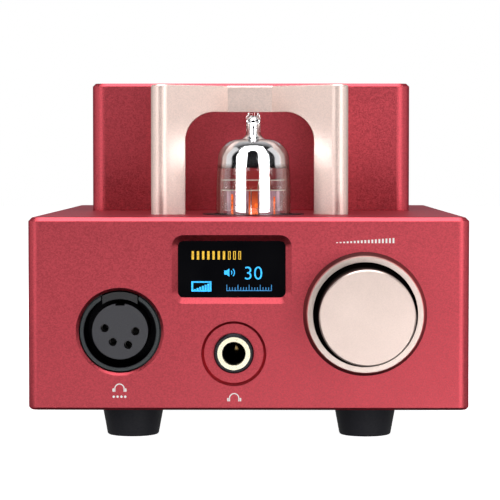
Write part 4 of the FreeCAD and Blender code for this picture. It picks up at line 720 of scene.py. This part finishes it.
glass_low, glass_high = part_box("tube_glass")
TUBE_X = (glass_low.x + glass_high.x) / 2
TUBE_Y = (glass_low.y + glass_high.y) / 2
TUBE_TOP = glass_high.z
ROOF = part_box("transformer_cover")[0].z
WALL_LEAN = math.radians(3.15)
FILM_DEEP = 0.94 * MM
DOME_TOP = ROOF + 21.7 * MM
DOME_CENTRE = 4.363 * MM
DOME_ROUND = 5.9 * MM
DOME_CURVE = DOME_ROUND - FILM_DEEP
DOME_STEPS = 18
NECK_RADIUS = 2.05 * MM
NECK_FLARE = 2.2 * MM
FLARE_STEPS = 8
NECK_TOP = TUBE_TOP - 1.3 * MM
NECK_SHOULDER = 0.6 * MM
TIP_RADIUS = 0.05 * MM
TIP_RISE = 0.1 * MM
FILM_EDGE = ROOF + 14.1 * MM
FADE_START = FILM_EDGE - 0.5 * MM
FADE_END = FILM_EDGE + 1.0 * MM
FILM_FOOT = FILM_EDGE - 1.0 * MM


def film_profile():
    """A shell just inside the outer surface: leaning wall, dome corner, flare and neck."""
    middle = DOME_TOP - DOME_ROUND
    points = []
    for step in range(DOME_STEPS + 1):
        angle = WALL_LEAN + (math.pi / 2 - WALL_LEAN) * step / DOME_STEPS
        points.append((DOME_CENTRE + DOME_CURVE * math.cos(angle), middle + DOME_CURVE * math.sin(angle)))
    wall_radius, wall_top = points[0]
    drop = wall_top - FILM_FOOT
    points.insert(0, (wall_radius + drop * math.tan(WALL_LEAN), FILM_FOOT))
    flare = NECK_FLARE + FILM_DEEP
    for step in range(FLARE_STEPS + 1):
        angle = math.radians(270 - 90 * step / FLARE_STEPS)
        points.append((NECK_RADIUS + NECK_FLARE + flare * math.cos(angle),
                       DOME_TOP + NECK_FLARE + flare * math.sin(angle)))
    core = NECK_RADIUS - FILM_DEEP
    points += [(core, NECK_TOP - NECK_SHOULDER), (core / 2, NECK_TOP), (TIP_RADIUS, NECK_TOP + TIP_RISE)]
    return points


piece("tube_silver_film", lathe(film_profile(), TUBE_X, TUBE_Y), "tube",
      silvered("getter_film", FADE_START, FADE_END), smooth=True)

EMBER = glowing("heater_ember", (1.0, 0.17, 0.02), 1.15, 0.25)


def fading_glow(name, low, high):
    """Painted glow: heater light falling on a part, orange-red below, fading to dull red above."""
    tree = Tree(name, 0.0, 0.6)
    uneven = tree.noise(700.0, detail=3.0)
    height = tree.span(tree.math("MULTIPLY_ADD", uneven, 4 * MM, tree.axis("Z")), low, high)
    # Painted glow colour, used for both the surface colour and the emission
    heat = tree.mix(tree.math("POWER", height, 0.6), (1.0, 0.20, 0.02), (0.16, 0.008, 0.008))
    tree.color(heat)
    tree.feed(tree.shader.inputs["Emission Color"], heat)
    tree.shader.inputs["Emission Strength"].default_value = 1.3
    tree.rough(tree.span(uneven, 0.3, 0.7, 0.5, 0.7))
    return tree.material


SHIELD_PAINTED_GLOW = fading_glow("shield_painted_glow", ROOF - 1 * MM, ROOF + 10 * MM)
WIRE_METAL = metal("grid_wire", (0.85, 0.84, 0.82), 0.15)
anode_low, anode_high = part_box("tube_anodes")
ANODE_FRONT = anode_low.y
EMBER_LOW = ROOF - 12 * MM
EMBER_OUTSIDE = ANODE_FRONT - 0.5 * MM
EMBER_INSIDE = ANODE_FRONT + 0.6 * MM
SHIELD_FRONT = ANODE_FRONT + 1.4 * MM
STRIP_THICK = 0.3 * MM


def strips_of(spots):
    """Upright strips that face the front, each (x, y, top, half width), from below the roof up."""
    def make(shape):
        for x, y, top, half in spots:
            prism(shape, bar(x - half, EMBER_LOW, 2 * half, top - EMBER_LOW), y, y + STRIP_THICK)
    return make


piece("heater_glow", strips_of([
    (TUBE_X - 5.85 * MM, EMBER_OUTSIDE, ROOF + 5.9 * MM, 0.26 * MM),
    (TUBE_X + 5.85 * MM, EMBER_OUTSIDE, ROOF + 5.2 * MM, 0.22 * MM),
    (TUBE_X - 1.45 * MM, EMBER_INSIDE, ROOF + 2.6 * MM, 0.30 * MM),
    (TUBE_X + 0.95 * MM, EMBER_INSIDE, ROOF + 3.2 * MM, 0.50 * MM),
]), "tube", EMBER)
# The inner shield is no heater: its glow is painted heater light, brightest near the roof
piece("inner_shield", strips_of([(TUBE_X, SHIELD_FRONT, ROOF + 12.6 * MM, 1.75 * MM)]),
      "tube", SHIELD_PAINTED_GLOW)

GRID_INSET = 2.75 * MM
GRID_HALF_WIDTH = 1.45 * MM
GRID_HALF_DEPTH = 3.0 * MM
GRID_LOW = anode_low.z + 0.5 * MM
GRID_HIGH = anode_high.z - 0.3 * MM
GRID_TURNS = 30
TURN_STEPS = 14
GRID_WIRE_RADIUS = 0.06 * MM
GRID_WIRE_SIDES = 4


def grid_path(x):
    """An oval winding about an upright axis at (x, TUBE_Y)."""
    count = GRID_TURNS * TURN_STEPS
    path = []
    for index in range(count + 1):
        angle = 2 * math.pi * index / TURN_STEPS
        path.append((x + GRID_HALF_WIDTH * math.cos(angle), TUBE_Y + GRID_HALF_DEPTH * math.sin(angle),
                     GRID_LOW + (GRID_HIGH - GRID_LOW) * index / count))
    return path


def inside_wire(name, path, radius, sides):
    return piece(name, wire(path, radius, sides), "tube", WIRE_METAL, smooth=True)


inside_wire("grid_winding_left", grid_path(anode_low.x + GRID_INSET), GRID_WIRE_RADIUS, GRID_WIRE_SIDES)
inside_wire("grid_winding_right", grid_path(anode_high.x - GRID_INSET), GRID_WIRE_RADIUS, GRID_WIRE_SIDES)
inside_wire("getter_support", [
    (TUBE_X - 0.6 * MM, ANODE_FRONT - 0.8 * MM, ROOF - 10 * MM),
    (TUBE_X - 0.6 * MM, ANODE_FRONT - 0.8 * MM, ROOF + 7.6 * MM),
], 0.16 * MM, 8)
inside_wire("getter_stay", [
    (TUBE_X + 1.3 * MM, ANODE_FRONT - 0.4 * MM, ROOF + 6.9 * MM),
    (TUBE_X + 1.5 * MM, ANODE_FRONT - 0.2 * MM, ROOF + 9.5 * MM),
    (TUBE_X + 2.2 * MM, ANODE_FRONT + 0.4 * MM, ROOF + 12.0 * MM),
], 0.18 * MM, 8)

# Tip of the contact spring, seen inside the headphone jack
SPRING_X = JACK.x + 0.7 * MM
piece("jack_spring_tip", wire([(SPRING_X, JACK.y + 6.0 * MM, JACK.z + 3.1 * MM),
                               (SPRING_X, JACK.y + 4.5 * MM, JACK.z + 0.8 * MM),
                               (SPRING_X, JACK.y + 6.5 * MM, JACK.z - 0.2 * MM),
                               (SPRING_X, JACK.y + 9.0 * MM, JACK.z + 2.9 * MM)], 0.5 * MM, 10),
      "case", metal("spring_tip_brass", (0.62, 0.46, 0.22), 0.3), smooth=True)


# Studio


def area_light(name, place, aim, width, height, watts):
    lamp = bpy.data.lights.new(name, "AREA")
    lamp.shape = "RECTANGLE"
    lamp.size = width
    lamp.size_y = height
    lamp.energy = watts
    item = bpy.data.objects.new(name, lamp)
    item.location = place
    item.rotation_euler = (Vector(aim) - Vector(place)).to_track_quat("-Z", "Y").to_euler()
    item.visible_camera = False
    SCENE.collection.objects.link(item)
    return item


# Lights that leave the bulb out: (name, place, aim, width, height, watts)

LIGHTS = [
    ("softbox_left", (-0.68, -0.74, 0.36), (0, 0, 0.06), 0.46, 1.05, 3.6),
    ("softbox_right", (0.62, -0.80, 0.36), (0, 0, 0.06), 0.50, 1.05, 5.1),
    ("softbox_top", (0.0, -0.06, 0.92), (0, -0.05, 0), 0.75, 0.60, 7.2),
    ("top_apron", (0.0, -0.62, 0.85), (0, -0.05, 0.06), 0.60, 0.55, 1.3),
    ("low_card_left", (-0.30, -1.00, -0.16), (0, 0, 0.04), 0.60, 0.26, 0.85),
    ("low_card_right", (0.32, -1.00, -0.16), (0, 0, 0.04), 0.60, 0.26, 1.95),
    ("front_card", (0.05, -1.30, 0.12), (0.05, 0, 0.08), 0.6, 0.14, 0.10),
    ("side_card_left", (-0.80, -0.14, 0.25), (0, 0, 0.06), 0.8, 0.6, 1.7),
    ("side_card_right", (0.80, -0.14, 0.25), (0, 0, 0.06), 0.8, 0.6, 1.7),
]
bulb_left_out = bpy.data.collections.new("bulb_left_out")
bulb_left_out.objects.link(NODES["tube_glass"])
bulb_left_out.collection_objects[0].light_linking.link_state = "EXCLUDE"
for name, place, aim, width, height, watts in LIGHTS:
    lamp = area_light(name, place, aim, width, height, watts)
    lamp.light_linking.receiver_collection = bulb_left_out


# Sheen that only the bulb catches: (name, azimuth, elevation, width, height, watts), angles in degrees

BULB_LIGHTS = [
    ("bulb_strip_left", -40.2, 6, 0.60, 1.10, 16.0),
    ("bulb_strip_right", 36.5, 6, 0.60, 1.10, 16.0),
    ("bulb_bend_left", -42, 53, 0.44, 0.50, 6.5),
    ("bulb_bend_right", 38, 53, 0.44, 0.50, 6.5),
    ("bulb_top", 0, 74, 0.80, 0.52, 8.0),
    ("bulb_side_left", -92, 24, 0.50, 1.20, 1.4),
    ("bulb_side_right", 92, 24, 0.50, 1.20, 1.4),
]
bulb_only = bpy.data.collections.new("bulb_only")
bulb_only.objects.link(NODES["tube_glass"])
BULB_MIDDLE = centre_of("tube_glass")
for name, azimuth, elevation, width, height, watts in BULB_LIGHTS:
    level = math.cos(math.radians(elevation))
    toward = Vector((level * math.sin(math.radians(azimuth)), -level * math.cos(math.radians(azimuth)),
                     math.sin(math.radians(elevation))))
    lamp = area_light(name, BULB_MIDDLE + toward, BULB_MIDDLE, width, height, watts)
    lamp.light_linking.receiver_collection = bulb_only

# World: white paper for the camera and, part way, for what reflects the back of the room

ROOM_COLOR = (0.006, 0.006, 0.007, 1)
PAPER_START = 0.10
PAPER_END = 0.55
PAPER_SHARE = 0.5
world = bpy.data.worlds.new("studio")
SCENE.world = world
world.use_nodes = True
world_nodes = world.node_tree.nodes
world_links = world.node_tree.links
dim_room = world_nodes["Background"]
dim_room.inputs["Color"].default_value = ROOM_COLOR
white_paper = world_nodes.new("ShaderNodeBackground")
white_paper.inputs["Color"].default_value = (1, 1, 1, 1)
facing = world_nodes.new("ShaderNodeTexCoord")
parts = world_nodes.new("ShaderNodeSeparateXYZ")
behind = world_nodes.new("ShaderNodeMapRange")
behind.inputs["From Min"].default_value = PAPER_START
behind.inputs["From Max"].default_value = PAPER_END
behind.inputs["To Max"].default_value = PAPER_SHARE
seen = world_nodes.new("ShaderNodeLightPath")
either = world_nodes.new("ShaderNodeMath")
either.operation = "MAXIMUM"
chosen = world_nodes.new("ShaderNodeMixShader")
world_links.new(facing.outputs["Generated"], parts.inputs[0])
world_links.new(parts.outputs["Y"], behind.inputs["Value"])
world_links.new(seen.outputs["Is Camera Ray"], either.inputs[0])
world_links.new(behind.outputs[0], either.inputs[1])
world_links.new(either.outputs[0], chosen.inputs[0])
world_links.new(dim_room.outputs[0], chosen.inputs[1])
world_links.new(white_paper.outputs[0], chosen.inputs[2])
world_links.new(chosen.outputs[0], world_nodes["World Output"].inputs["Surface"])


# Floor: glowing white paper that the pieces do not reflect and that lets the low lights through

FLOOR_CELLS = 8
FLOOR_HALF = 3.0
floor_tree = Tree("studio_floor", 0.0, 0.8, Emission_Color=(1, 1, 1, 1), Emission_Strength=0.95)
floor_tree.color(floor_tree.mix(floor_tree.noise(3.0), (0.90, 0.90, 0.90), (0.94, 0.94, 0.94)))
floor_tree.relief(floor_tree.noise(400.0), 0.02 * MM, 0.2)
floor_shape = bmesh.new()
bmesh.ops.create_grid(floor_shape, x_segments=FLOOR_CELLS, y_segments=FLOOR_CELLS, size=FLOOR_HALF)
floor_mesh = bpy.data.meshes.new("floor")
floor_shape.to_mesh(floor_mesh)
floor_shape.free()
floor_mesh.materials.append(floor_tree.material)
floor = bpy.data.objects.new("floor", floor_mesh)
floor.visible_glossy = False
floor.visible_diffuse = False
floor.visible_shadow = False
SCENE.collection.objects.link(floor)

CAMERA_PLACE = (5.04 * MM, -694.5 * MM, 77.0 * MM)
CAMERA_TILT = math.radians(90 - 2.295)
CAMERA_TURN = math.radians(0.434)
camera_data = bpy.data.cameras.new("camera")
camera_data.lens = 161.7
camera_data.sensor_width = 36.0
camera = bpy.data.objects.new("camera", camera_data)
camera.location = CAMERA_PLACE
camera.rotation_euler = (CAMERA_TILT, 0, CAMERA_TURN)
SCENE.collection.objects.link(camera)
SCENE.camera = camera
SCENE.view_settings.view_transform = "Standard"
